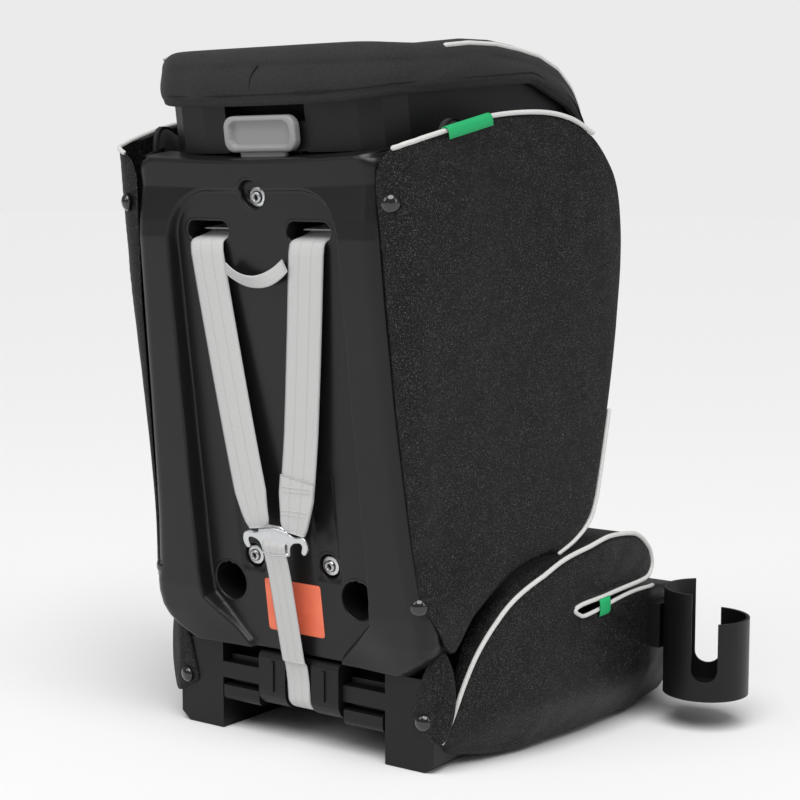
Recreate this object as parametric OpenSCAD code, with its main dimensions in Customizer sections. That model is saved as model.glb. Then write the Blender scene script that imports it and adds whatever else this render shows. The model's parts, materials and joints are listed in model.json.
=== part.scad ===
// Convertible child car seat, seen mostly from behind: a base with armrests, a reclining backrest with
// side wings, a height-adjustable headrest, a five-point harness with a rear yoke, and a cup holder.
// Millimetres. +Z up, the child faces -Y. The origin is on the ground, midway between the sides.

/* [Backrest] */
// Length of the rear shell along its lean
shell_h = 442; // [370:2:530]
// Width of the rear shell across its top edge
shell_top_w = 268; // [250:2:290]
// Extra width of the rear shell near its bottom, each side
shell_flare = 7; // [2:1:8]
// Wall of the moulded shells
shell_wall = 4; // [2.5:0.5:5]
// Lean of the backrest from upright at rest, degrees
lean = 8; // [4:1:12]
// Depth of the tray that the rear shell makes
shell_depth = 42; // [38:1:52]
// How far the two side rails stand behind the shell's back
rail_proud = 10; // [4:1:14]
// Half width between the rails
rail_half = 94; // [86:1:100]

/* [Side wings] */
// Depth of the wings, from their rear hem forward
wing_depth = 256; // [214:2:308]
// How far a wing flares outward from rear to front
wing_flare = 71; // [56:1:86]
// Thickness of the outer cover with its wadding
cover_t = 8; // [6:1:9]
// Thickness of the wing's plastic panel
panel_t = 4; // [3:0.5:5]
// Thickness of the pad on the child's side
wing_pad_t = 12; // [8:1:14]

/* [Headrest] */
// Height of the headrest's cover at the back
head_h = 52; // [42:1:64]
// Depth of the headrest's side wings
head_depth = 276; // [250:2:330]
// Thickness of the headrest's cushion
head_pad_t = 25; // [18:1:30]
// Steps of the height rack
rack_steps = 6; // [3:1:6]
// Distance between two rack notches
rack_pitch = 25; // [20:1:25]

/* [Base] */
// Greatest width of the base over its side bolsters
base_w = 426; // [400:2:512]
// Width over the rear feet
foot_w = 292; // [270:2:300]
// Distance from the origin back to the rear feet's face
base_rear = 200; // [200:1:204]
// Distance from the origin forward to the front edge
base_front = 190; // [160:2:228]
// Height of the moulded deck under the cushion
deck_h = 82; // [80:1:83]
// Thickness of the seat cushion
cushion_t = 42; // [30:1:54]
// Top of the armrests above the ground
armrest_h = 186; // [176:1:200]
// Height of the lap belt notch under each armrest
notch_h = 12; // [10:1:14]

/* [Hinge] */
// Radius of the hinge bar
bar_r = 7.5; // [6.5:0.5:8]
// Running clearance round the hinge bar
bar_gap = 0.06; // [0.03:0.01:0.1]
// Height of the hinge bar above the ground
hinge_z = 56; // [55:1:57]

/* [Harness] */
// Width of the shoulder webbing
strap_w = 38; // [32:1:40]
// Thickness of the webbing
strap_t = 1.5; // [1.2:0.1:2]
// Width of the adjuster webbing
adjust_w = 26; // [22:1:28]
// Distance of each shoulder slot's centre from the middle
slot_x = 56; // [54:1:58]

/* [Cup holder] */
// Radius of the cup holder inside
cup_r = 37; // [34:1:42]
// Height of the cup holder
cup_h = 100; // [84:2:120]
// Wall of the cup holder
cup_wall = 3; // [2:0.5:4]

/* [Hidden] */
$fn = 64;

// ---- levels of the backrest: x across, v to the rear, w up along the lean, from the hinge bar's axis ----
hinge_y = base_rear - 10;
low_w = 32;                              // bottom edge of the rear shell
top_w = low_w + shell_h;                 // top edge of the rear shell
back_v = 11.5;                           // rear face of the shell's plain band
panel_v = back_v - 3;                    // rear face of the sunk middle panel
front_v = back_v - shell_depth;          // open front edge of the rear shell
frame_v0 = front_v - 14;                 // front face of the back frame
frame_v1 = frame_v0 + shell_wall;        // its rear face
cushion_v = frame_v0 - 36;               // front face of the back cushion
slot_w = top_w - 60;                     // middle of the shoulder slots
slot_half_x = 24;
slot_half_w = 9;
screw_low = [43, low_w + 89];            // lower screws, x and w
screw_top = [0, top_w - 27];
wing_v = 8;                              // rear hem of the wing covers
wing_top = top_w + 20;
wing_n = 10;                             // straight pieces of the wing's curve in plan
rim_v = wing_v - wing_depth * 0.9 - 1;   // the padded front rim starts here
wing_low = 42;
wing_root = shell_top_w / 2 + shell_flare + 3;
hem_in = wing_root - 1.4;                // inner face of the cover over the shell's flank
plate_w = top_w + 4;                     // bottom of the headrest's plastic shell
hem_w = top_w + 48;                      // lower hem of the headrest's cover
head_top = hem_w + head_h;
leg_in = 14;
leg_out = 33.5;
leg_v0 = frame_v1 + 5;                   // the headrest's legs, between frame and shell
leg_v1 = leg_v0 + 14;
leg_low = plate_w - rack_steps * rack_pitch - 124;
rack_w = leg_low + 16;                   // bottom of the height rack
rack_top = rack_w + rack_steps * rack_pitch + 50;
latch_w = rack_w + 20;                   // notch that holds the headrest at rest
notch_gap = 0.6;                         // play of the latch tooth in a notch
tooth_h = 8;
yoke_w = low_w + 96;                     // bottom of the yoke at rest
yoke_v = back_v + 11;
// ---- levels of the base ----
beam_half = 47;                          // half width of the strap guide, and inner end of the hinge gaps
block_x = 94;                            // inner face of the rear feet
beam_h = 15;
seat_z = deck_h + cushion_t;
frame_x = 140;                           // inner face of the armrest frames
frame_x1 = frame_x + 5;
skirt = 12;                              // thickness of the bolster outside the base shell
buckle_y = -30;
buckle_z = seat_z + 10;
lap_x = 84;                              // middle of each lap strap where it enters the seat
lap_y = 134;
tunnel_z = 27;                           // height of the adjuster strap under the deck
cup_x = -(base_w / 2 + cup_r + cup_wall + 10);
cup_y = -80;
cup_z = 30;
clear = 0.3;

black = [0.03, 0.03, 0.032];
cloth = [0.05, 0.05, 0.052];
webbing = [0.72, 0.72, 0.71];
zinc = [0.78, 0.79, 0.8];
steel = [0.75, 0.75, 0.76];
grey = [0.6, 0.6, 0.6];
green = [0.03, 0.5, 0.2];

// ---- helpers ----
function arc(cx, cy, r, a0, a1, n = 8) = [for (i = [0:n]) let (a = a0 + (a1 - a0) * i / n)
    [cx + r * cos(a), cy + r * sin(a)]];
function flip(pts) = [for (i = [len(pts) - 1:-1:0]) [-pts[i][0], pts[i][1]]];
function reverse(pts) = [for (i = [len(pts) - 1:-1:0]) pts[i]];
// a curve moved sideways by d, square to itself
function beside(pts, d) = [for (i = [0:len(pts) - 1])
    let (a = pts[max(i - 1, 0)], b = pts[min(i + 1, len(pts) - 1)], t = (b - a) / norm(b - a))
    pts[i] + d * [-t[1], t[0]]];
function band(pts, d0, d1) = concat(beside(pts, d0), reverse(beside(pts, d1)));

module in_back() translate([0, hinge_y, hinge_z]) rotate([-lean, 0, 0]) children();
// an outline in x and z, from y0 to y1
module slab_y(pts, y0, y1) translate([0, y1, 0]) rotate([90, 0, 0]) linear_extrude(y1 - y0) polygon(pts);
// an outline in y and z, from x0 to x1
module slab_x(pts, x0, x1) translate([x0, 0, 0]) rotate([90, 0, 90]) linear_extrude(x1 - x0) polygon(pts);
module box(a, b) translate(a) cube(b - a);
module rod_y(x, z, r, y0, y1) translate([x, y1, z]) rotate([90, 0, 0]) cylinder(r = r, h = y1 - y0);
module rod_x(y, z, r, x0, x1) translate([x0, y, z]) rotate([0, 90, 0]) cylinder(r = r, h = x1 - x0);
module both() { children(); mirror([1, 0, 0]) children(); }
// an upright oblong through y0 to y1, w wide and h high
module oblong_y(x, z, w, h, y0, y1) {
    r = min(w, h) / 2;
    for (s = [-1, 1]) rod_y(x + s * (w / 2 - r), z, r, y0, y1);
    box([x - w / 2 + r, y0, z - r], [x + w / 2 - r, y1, z + r]);
}
module tall_y(x, z, w, h, y0, y1) {
    r = w / 2;
    for (s = [-1, 1]) rod_y(x, z + s * (h / 2 - r), r, y0, y1);
    box([x - r, y0, z - h / 2 + r], [x + r, y1, z + h / 2 - r]);
}

// ---- base ----
// right half of the base's plan, e inside the outermost line
function plan_half(e) = let (h = base_w / 2, f = foot_w / 2, d = h - f) [
    [f + 4 - e, base_rear - 15], [f + d * 0.48 - e, base_rear - 50],
    [f + d * 0.72 - e, base_rear - 100], [f + d * 0.92 - e, base_rear - 180],
    [h - e, base_rear - 260], [h - 6 - e, 60 - base_front],
    [h - 20 - e, 25 - base_front + e], [h - 52 - e, 4 - base_front + e]];
function plan(e) = let (p = plan_half(e), r = base_rear - 15)
    concat([[-(p[0][0]), r]], [p[0]], [for (i = [1:7]) p[i]], flip([for (i = [1:7]) p[i]]));
module base_form(e, z0, z1) {
    mid = min(z0 + 50, z1 - 2);
    hull() {
        translate([0, 0, z0]) linear_extrude(1) scale([0.92, 0.97]) polygon(plan(e));
        translate([0, 0, mid]) linear_extrude(1) polygon(plan(e));
    }
    translate([0, 0, mid]) linear_extrude(z1 - mid) polygon(plan(e));
}
module foot_form(z1) slab_y([[block_x, 0], [foot_w / 2 - 10, 0], [foot_w / 2, 8], [foot_w / 2, z1],
    [block_x, z1]], 90, base_rear);
module base_shell() color(black) difference() {
    union() {
        difference() {
            base_form(skirt + clear, 9, deck_h);
            base_form(skirt + shell_wall, -20, deck_h - shell_wall);
        }
        both() foot_form(deck_h);
        // beam over the hinge bar, between the feet
        both() box([beam_half, base_rear - 2.4, hinge_z - beam_h / 2], [block_x + 1, base_rear,
            hinge_z + beam_h / 2]);
    }
    // open well for the hooks and the strap guide, and hollow feet
    box([-block_x, 158, -1], [block_x, base_rear - 2.4, deck_h + 1]);
    for (z = [[-1, hinge_z - beam_h / 2], [hinge_z + beam_h / 2, deck_h + 1]])
        box([-block_x, base_rear - 3, z[0]], [block_x, base_rear + 1, z[1]]);
    box([-beam_half, base_rear - 3, -1], [beam_half, base_rear + 1, deck_h + 1]);
    both() box([block_x + 5, 95, shell_wall], [foot_w / 2 - 5, base_rear - 5, deck_h - shell_wall]);
    // sockets for the hinge bar
    rod_x(hinge_y, hinge_z, bar_r + bar_gap, -block_x - 6, block_x + 6);
    // slot for the crotch strap, and the mouth of the adjuster
    box([-16, buckle_y - 6, 60], [16, buckle_y + 6, deck_h + 1]);
    box([-24, -base_front - 1, 44], [24, -base_front + 42, 72]);
    // lap strap slots and screw holes
    both() box([lap_x - 17, lap_y - 3, 60], [lap_x + 17, lap_y + 8, deck_h + 1]);
    pan_posts() cylinder(r = 2.2, h = deck_h + 1);
}
module pan_posts() for (x = [-90, 90], y = [-120, 60]) translate([x, y, 0]) children();
module underside_pan() color(black) {
    difference() {
        union() {
            box([-118, -150, 0], [118, 88, 3]);
            // posts up to the deck
            pan_posts() cylinder(r = 7, h = deck_h - shell_wall);
        }
        pan_posts() {
            translate([0, 0, -1]) cylinder(r = 5, h = 7);
            cylinder(r = 2.2, h = deck_h);
        }
    }
}
// heads sunk in the posts from below, threads in the deck
module pan_screws() color(steel) pan_posts() {
    translate([0, 0, 3.4]) cylinder(r = 4.7, h = 2.6);
    translate([0, 0, 5]) cylinder(r = 2, h = deck_h - 5.5);
}
module hinge_bar() color(black) rod_x(hinge_y, hinge_z, bar_r, -block_x - 5.8, block_x + 5.8);
module strap_guide() color(black) {
    y1 = base_rear + 5;
    difference() {
        slab_x(concat([[159, deck_h], [159, 46]], arc(y1 - 16, 30 + 16, 16, 215, 360),
            arc(y1 - 6, deck_h - 6, 6, 0, 90)), -beam_half + 1, beam_half - 1);
        rod_x(hinge_y, hinge_z, bar_r + bar_gap, -beam_half, beam_half);
        // channel for the adjuster strap, round the guide
        difference() {
            box([-adjust_w / 2 - 2, 150, 20], [adjust_w / 2 + 2, y1 + 1, deck_h + 1]);
            box([-adjust_w, 150, 46], [adjust_w, y1 - 3, deck_h + 2]);
            rod_x(y1 - 16, 46, 13, -adjust_w, adjust_w);
        }
    }
    both() box([28, y1 - 0.01, 46], [31, y1 + 1.6, deck_h - 8]);
}
// side outline of an armrest, in y and z; r0 is how far it is drawn in
function arm_top(e) = concat([[172 - e, 92], [165 - e, 108 - e * 0.6], [133 - e, 146 - e], [86, 172 - e],
    [40, armrest_h - 4 - e], [10, armrest_h - e], [-25, armrest_h - e]],
    arc(-42, armrest_h - 23, 23 - e, 90, 240, 7));
module arm_pad_form(x0, x1) slab_x(concat(arm_top(0), [[-10, 130 + notch_h / 2], [48, 124 + notch_h / 2],
    [54, 124]]), x0, x1);
module bolster_form(x0, x1) slab_x([[base_rear - 8, 14], [base_rear - 10, 56], [172, 91.6], [54, 123.5],
    [48, 124 - notch_h / 2], [-10, 130 - notch_h / 2], [-60, 131 - notch_h / 2], [-100, 124],
    [-160, 116], [-base_front - 20, 104], [-base_front - 20, 0], [base_rear - 20, 0]], x0, x1);
module armrest_frames() color(black) both() difference() {
    slab_x(concat(arm_top(10), [[-100, 110], [-150, 104], [-150, deck_h], [140, deck_h]]),
        frame_x, frame_x1);
    // the notch for the lap belt
    slab_x([[-90, 132 + notch_h / 2 - 1], [-10, 130 + notch_h / 2], [48, 124 + notch_h / 2], [54, 124],
        [48, 124 - notch_h / 2], [-10, 130 - notch_h / 2], [-90, 131 - notch_h / 2]],
        frame_x - 1, frame_x1 + 1);
}
module armrest_pad_half() intersection() {
    arm_pad_form(frame_x1 + clear, base_w / 2);
    translate([0, 0, deck_h]) linear_extrude(armrest_h) polygon(plan(0));
}
module side_bolster_half() difference() {
    intersection() {
        bolster_form(frame_x1 + clear, base_w / 2);
        base_form(0, 8, deck_h + 60);
    }
    base_form(skirt, 7, deck_h + clear);
    box([0, 88, -1], [foot_w / 2 + clear, base_rear + 1, deck_h + clear]);
}
module armrest_pad_right() color(cloth) mirror([1, 0, 0]) armrest_pad_half();
module armrest_pad_left() color(cloth) armrest_pad_half();
module side_bolster_right() color(cloth) difference() {
    mirror([1, 0, 0]) side_bolster_half();
    // the cup holder's bracket is let in
    box([-base_w / 2 - 1, cup_y - 14 - clear, cup_z + 48 - clear], [-base_w / 2 + 9 + clear,
        cup_y + 14 + clear, cup_z + 74 + clear]);
}
module side_bolster_left() color(cloth) side_bolster_half();
module seat_side_pads() color(cloth) both() {
    slab_x([[140, deck_h + clear], [132, 118], [96, 146], [40, 162], [0, 166], [-30, 160], [-44, 138],
        [-110, 128], [-150, 120], [-150, deck_h + clear]], 114, frame_x - clear);
}
module seat_cushion() color(cloth) {
    difference() {
        union() {
            slab_x([[138, deck_h + clear], [138, seat_z - 8], [128, seat_z], [-160, seat_z], [-184, seat_z - 8],
                [-base_front - 8, seat_z - 26], [-base_front - 8, deck_h - 16], [-base_front - 0.6, deck_h - 16],
                [-base_front - 0.6, deck_h + clear]], -113.7, 113.7);
        }
        box([-20, buckle_y - 9, 0], [20, buckle_y + 9, seat_z + 1]);
        both() box([lap_x - 17, lap_y - 3, deck_h], [lap_x + 17, lap_y + 5, seat_z + 1]);
    }
}
module base_studs() color(black) {
    both() translate([foot_w / 2 + 6, base_rear - 20, 44]) rotate([-62, 0, -28]) stud();
}
// a domed press stud on its post
module stud() intersection() {
    translate([0, 0, -9]) sphere(r = 12);
    translate([0, 0, -4]) cylinder(r = 8, h = 8);
}
module adjuster_housing() color(black) difference() {
    box([-23, -base_front + 0.4, 45], [23, -base_front + 38, 71]);
    box([-20, -base_front - 1, 48], [20, -base_front + 35, 68]);
    box([-14, -base_front + 30, 50], [14, -base_front + 40, 60]);
}
module adjuster_button() color(grey) {
    box([-15, -base_front - 5, 58], [15, -base_front + 16, 66]);
    // serrated cam that bites the strap
    box([-13, -base_front + 12, 55.5], [13, -base_front + 18, 58.5]);
}
module adjuster_spring() color(steel) translate([0, -base_front + 34.6, 62]) rotate([90, 0, 0])
    difference() { cylinder(r = 3, h = 18.2); translate([0, 0, -1]) cylinder(r = 2.2, h = 21); }
module adjuster_strap_base() color(webbing) {
    y1 = base_rear + 2.2;
    outer = concat([[y1 + strap_t, deck_h - 3]], arc(y1 - 13.2, 46, 13.2 + strap_t, 0, -90, 8),
        [[170, tunnel_z], [-138, tunnel_z], [-base_front + 41, 52], [-base_front - 2, 52]],
        [[-base_front - 9, 44], [-base_front - 10, 8]]);
    inner = concat([[y1, deck_h - 3]], arc(y1 - 13.2, 46, 13.2, 0, -90, 8),
        [[170, tunnel_z + strap_t], [-137, tunnel_z + strap_t], [-base_front + 41, 52 + strap_t],
        [-base_front - 3, 52 + strap_t], [-base_front - 10.5, 45], [-base_front - 11.5, 8]]);
    slab_x(concat(outer, reverse(inner)), -adjust_w / 2, adjust_w / 2);
}
// ---- harness, front ----
module crotch_strap() color(webbing) box([-15, buckle_y - strap_t / 2, 64], [15, buckle_y + strap_t / 2,
    buckle_z]);
module crotch_pad() color(cloth) difference() {
    box([-19, buckle_y - 8, seat_z - 36], [19, buckle_y + 8, buckle_z - 1]);
    box([-16, buckle_y - 2, 0], [16, buckle_y + 2, buckle_z]);
}
module buckle_housing() color(black) difference() {
    slab_y([[-30, buckle_z + 6], [-24, buckle_z], [24, buckle_z], [30, buckle_z + 6],
        [30, buckle_z + 50], [-30, buckle_z + 50]], buckle_y - 11, buckle_y + 11);
    box([-27, buckle_y - 5, buckle_z + 5], [27, buckle_y + 8, buckle_z + 51]);
    box([-13, buckle_y - 12, buckle_z + 12], [13, buckle_y, buckle_z + 38]);
}
module buckle_button() color([0.7, 0.05, 0.04]) box([-12.6, buckle_y - 13, buckle_z + 12.4],
    [12.6, buckle_y - 4.7, buckle_z + 37.6]);
module buckle_latch() color(steel) box([-20, buckle_y - 4.4, buckle_z + 16], [20, buckle_y - 2.4,
    buckle_z + 34]);
module buckle_spring() color(steel) for (x = [-8, 8]) rod_y(x, buckle_z + 12, 2.2, buckle_y - 2.2,
    buckle_y + 7.8);
module tongue(s) {
    yt = buckle_y + 3.4;
    difference() {
        union() {
            box([s * 14 - 11, yt - 1.2, buckle_z + 26], [s * 14 + 11, yt + 1.2, buckle_z + 56]);
            box([s * 18 - 17, yt - 2, buckle_z + 51], [s * 18 + 17, yt + 2, buckle_z + 72]);
        }
        box([s * 18 - 14, yt - 4, buckle_z + 60], [s * 18 + 14, yt + 4, buckle_z + 66]);
        box([s * 14 - 5, yt - 4, buckle_z + 32], [s * 14 + 5, yt + 4, buckle_z + 38]);
    }
}
module tongue_left() color(steel) tongue(1);
module tongue_right() color(steel) tongue(-1);
// each lap strap runs from its anchor over the cushion to its tongue, and on towards the shoulder
module lap_straps() color(webbing) both() {
    yt = buckle_y + 3.4;
    hull() {
        box([lap_x - 15, lap_y - 2, seat_z + 1], [lap_x + 15, lap_y, seat_z + 3]);
        box([5, yt + 3, buckle_z + 61], [31, yt + 5, buckle_z + 63]);
    }
    box([lap_x - 15, lap_y, deck_h - 14], [lap_x + 15, lap_y + strap_t, seat_z + 2]);
}
module lap_anchor_plates() color(steel) both() box([lap_x - 17, lap_y + 3, deck_h - 20],
    [lap_x + 17, lap_y + 5, deck_h - 5]);
module cup_holder_bracket() color(black) {
    x = cup_x + cup_r + cup_wall;
    box([x + 1.4, cup_y - 14, cup_z + 48], [-base_w / 2 + 9, cup_y + 14, cup_z + 74]);
    box([x + clear, cup_y - 9, cup_z + 52], [x + 2, cup_y + 9, cup_z + 70]);
}
module base_tab() color(green) translate([-base_w / 2 + 1, 12, 118]) rotate([-26, 0, 0])
    box([-2.6, -12, -5], [3, 12, 5]);
module cup_holder() color(black) translate([cup_x, cup_y, cup_z]) {
    difference() {
        cylinder(r = cup_r + cup_wall, h = cup_h);
        translate([0, 0, cup_wall]) cylinder(r = cup_r, h = cup_h);
        // the wall is tall beside the seat and low on the other side, with a U cut between them
        rotate([0, 0, 114]) {
            box([-60, 0, cup_h * 0.73], [60, 60, cup_h + 1]);
            for (side = [0, 180]) rotate([0, 0, side]) {
                box([cup_r - 12, -12, cup_h * 0.3], [cup_r + 9, 12, cup_h + 1]);
                translate([cup_r - 12, 0, cup_h * 0.3]) rotate([0, 90, 0]) cylinder(r = 12, h = 21);
            }
        }
    }
    // hanger that drops over the bracket
    difference() {
        box([cup_r + cup_wall - 1.2, -20, 40], [cup_r + cup_wall + 10, 20, 82]);
        translate([0, 0, 0]) cylinder(r = cup_r + 1, h = cup_h);
        box([cup_r + cup_wall + 0.1, -14.4, 30], [cup_r + cup_wall + 11, 14.4, 74.4]);
    }
}

// ---- backrest ----
// the rear shell's outline in x and w, drawn in by e
function shell_pts(e) = let (t = shell_top_w / 2 - e, b = t + shell_flare) [[-t, top_w - e],
    [t, top_w - e], [b, low_w + 56], [b + 9, low_w + 44], [b + 9, low_w + 28], [b - 13, low_w + e],
    [13 - b, low_w + e], [-b - 9, low_w + 28], [-b - 9, low_w + 44], [-b, low_w + 56]];
function panel_pts(e) = let (x = rail_half - e, c = 40) concat(
    arc(x - c, top_w - 27 - e - c, c, 90, 0, 6), [[x + 2, low_w + 54]], [[51 - e, low_w - 1]]);
function rail_pts(e) = let (o = shell_top_w / 2 - 4 - e) [[rail_half + e, top_w - 60 - e],
    [o - 12, top_w - 44 - e], [o, top_w - 60 - e], [o + shell_flare, low_w + 60 + e],
    [o - 18, low_w + 20 + e], [rail_half + 2 + e, low_w + 52 + e]];
module panel_prism(e, v0, v1) slab_y(concat(panel_pts(e), flip(panel_pts(e))), v0, v1);
module screw_seats(r, v0, v1) {
    both() rod_y(screw_low[0], screw_low[1], r, v0, v1);
    rod_y(screw_top[0], screw_top[1], r, v0, v1);
}
module back_shell() color(black) in_back() difference() {
    union() {
        slab_y(shell_pts(0), front_v, back_v);
        both() slab_y(rail_pts(0), back_v - 1, back_v + rail_proud);
    }
    difference() {
        slab_y(shell_pts(shell_wall), front_v - 1, back_v - shell_wall);
        panel_prism(-shell_wall, panel_v - shell_wall, back_v);
        screw_seats(13, panel_v - 9 - shell_wall, back_v);
    }
    both() slab_y(rail_pts(shell_wall), back_v - shell_wall - 0.1, back_v + rail_proud - shell_wall);
    panel_prism(0, panel_v, back_v + 1);
    // round-ended pockets over the screws, the strap slots and two round hand holes
    both() tall_y(screw_low[0], screw_low[1] + 34, 26, 94, panel_v - 2, back_v + 1);
    // open top for the headrest's legs and the lever's rods
    box([-leg_out - 2, front_v - 1, top_w - shell_wall - 1], [leg_out + 2, -12, top_w + 1]);
    screw_seats(11, panel_v - 9, back_v + 1);
    screw_seats(3, front_v, back_v);
    both() oblong_y(slot_x, slot_w, 2 * slot_half_x, 2 * slot_half_w, front_v, back_v + 1);
    both() rod_y(73, low_w + 59, 18, front_v, back_v + 1);
}
module back_frame() color(black) in_back() difference() {
    union() {
        slab_y([[-136, 60], [-136, 130], [-146, 142], [-146, top_w - 6], [146, top_w - 6], [146, 142],
            [136, 130], [136, 60], [120, 36], [-120, 36]],
            frame_v0, frame_v1);
        // guide ribs beside the headrest's legs
        both() for (w = [[170, slot_w - 20], [slot_w + 20, top_w - 6]])
            box([leg_out + clear, frame_v1 - 0.1, w[0]], [leg_out + 3, panel_v - 16, w[1]]);
        // screw posts
        both() rod_y(screw_low[0], screw_low[1], 7, frame_v1 - 0.1, panel_v - 9 - shell_wall);
        rod_y(screw_top[0], screw_top[1], 6, frame_v1 - 0.1, panel_v - 9 - shell_wall);
    }
    screw_seats(2.5, frame_v1, back_v);
    both() oblong_y(slot_x, slot_w, 2 * slot_half_x, 2 * slot_half_w, frame_v0 - 1, frame_v1 + 1);
}
module hinge_hooks() color(black) in_back() {
    both() difference() {
        union() {
            difference() {
                rod_x(0, 0, bar_r + bar_gap + 6, beam_half + 3, block_x - 3);
                rotate([lean, 0, 0]) box([0, 0.5, -20], [block_x, 20, 20]);
            }
            rotate([lean, 0, 0]) {
                slab_x(concat([[-14, -12.4], [-14, -20]], arc(5, -23, 6, 250, 360, 5), [[11, -14.2], [0, -12.4]]),
                    beam_half + 2, block_x - 2);
                slab_x([[0, -14], [0, -8.6], [-4, -8.6], [-4, -14]], beam_half + 3.4, block_x - 3.4);
            }
            // leaf up into the back frame
            slab_x([[-11.5, -3], [frame_v0 + 2, 37], [frame_v0 + 2, 58], [frame_v1 + 3, 58], [frame_v1 + 3, 42],
                [frame_v1 + 1, 38], [-8, 7.6]], beam_half + 3.4, block_x - 3.4);
        }
        rod_x(0, 0, bar_r + bar_gap, 0, block_x + 1);
        slab_x([[frame_v0 - 1, 34], [frame_v0 - 1, 60], [frame_v1, 60], [frame_v1, 34]], 0, block_x + 1);
    }
}
module height_rack() color(grey) in_back() difference() {
    box([-9, frame_v1, rack_w], [9, frame_v1 + 10, rack_top]);
    for (i = [0:rack_steps]) box([-10, frame_v1 + 4, latch_w + i * rack_pitch - notch_gap],
        [10, frame_v1 + 11, latch_w + i * rack_pitch + tooth_h + notch_gap]);
}
// the wing's curve in plan, from its rear hem to its front edge
function wing_curve() = [for (i = [0:wing_n]) let (s = i / wing_n)
    [wing_root + wing_flare * pow(s, 0.8), wing_v - wing_depth * s]];
function wing_part(i0, i1) = let (c = wing_curve()) [for (i = [i0:i1]) c[i]];
// the wing's outline in v and w, drawn in by e
function wing_side(e) = let (f = wing_v - wing_depth + e, t = wing_top - e) concat(
    [[wing_v - e, wing_low + 54], [wing_v - e, t - 12]], [[wing_v - e - 12, t - 7], [-90, t]],
    arc(f + 92, t - 92, 92, 95, 168, 6), [[f, t - 112], [f + 9, t - 172]],
    [[f + 37, wing_low + 175]], arc(f + 105, wing_low + 110, 55, 180, 235, 4),
    [[-139, wing_low + 62 + e], [-79, wing_low + 58 + e], [-35, wing_low + 35 + e], [-3 - e, wing_low + 8 + e]]);
module wing_space(e) slab_x(wing_side(e), 60, 400);
module wing_sheet(pts, d0, d1) linear_extrude(top_w + 60) polygon(band(pts, -d0, -d1));
module wing_cover_half() in_back() intersection() {
    wing_space(0);
    difference() {
        union() {
            wing_sheet(wing_curve(), 0, cover_t);
            intersection() {
                wing_sheet(wing_part(wing_n - 1, wing_n), cover_t - 1, cover_t + panel_t + wing_pad_t);
                box([0, -400, 0], [400, rim_v, top_w + 60]);
            }
        }
        box([0, -20, 0], [hem_in, 40, top_w + 60]);
        slab_y(shell_pts(-clear), front_v - 1, 40);
    }
}
module wing_panels() color(black) in_back() both() intersection() {
    wing_space(10);
    difference() {
        wing_sheet(wing_part(0, wing_n - 1), cover_t + 0.05, cover_t + panel_t);
        box([0, -14, 0], [400, 40, top_w + 60]);
        box([0, front_v - clear, 0], [400, 40, low_w + 92]);
        box([0, -400, 0], [400, rim_v + clear, top_w + 60]);
    }
}
module wing_pad_half() in_back() intersection() {
    wing_space(6);
    difference() {
        wing_sheet(wing_part(0, wing_n - 1), cover_t + panel_t + 0.05, cover_t + panel_t + wing_pad_t);
        box([0, frame_v0 - clear, 0], [400, 40, top_w + 60]);
        box([0, -400, 0], [400, rim_v + clear, top_w + 60]);
    }
}
module wing_cover_left() color(cloth) wing_cover_half();
module wing_cover_right() color(cloth) mirror([1, 0, 0]) wing_cover_half();
module wing_pad_left() color(cloth) wing_pad_half();
module wing_pad_right() color(cloth) mirror([1, 0, 0]) wing_pad_half();
module back_cushion() color(cloth) in_back() difference() {
    slab_y([[-132, 112], [-132, top_w - 60], [-118, top_w - 50], [118, top_w - 50], [132, top_w - 60],
        [132, 112], [110, 96], [-110, 96]], cushion_v, frame_v0 - clear);
    both() oblong_y(slot_x, slot_w, 2 * slot_half_x, 2 * slot_half_w, cushion_v - 1, frame_v0 + 1);
}
module back_screws() color(steel) in_back() {
    seat = panel_v - 9;
    screw_seats(2.4, frame_v1 + 4, seat + 2);
    screw_seats(5.5, seat + 1.5, seat + 5);
}
module back_washers() color(zinc) in_back() difference() {
    screw_seats(9, panel_v - 9, panel_v - 7.5);
    screw_seats(2.6, panel_v - 10, panel_v);
}
module wing_studs() color(black) in_back() both() {
    for (w = [top_w - 40, low_w + 62]) translate([wing_root + 1.5, wing_v - 9, w]) rotate([0, 62, 28]) stud();
}
module back_label() color([0.92, 0.38, 0.22]) in_back() box([-32, panel_v, low_w + 18],
    [32, panel_v + 0.4, low_w + 67]);
module wing_tab() color(green) in_back() mirror([1, 0, 0]) translate([wing_root + wing_flare * 0.33,
    -78, wing_top + 0.2]) rotate([0, 0, 14]) box([-2, -22, 0], [4, 22, 6]);
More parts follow.
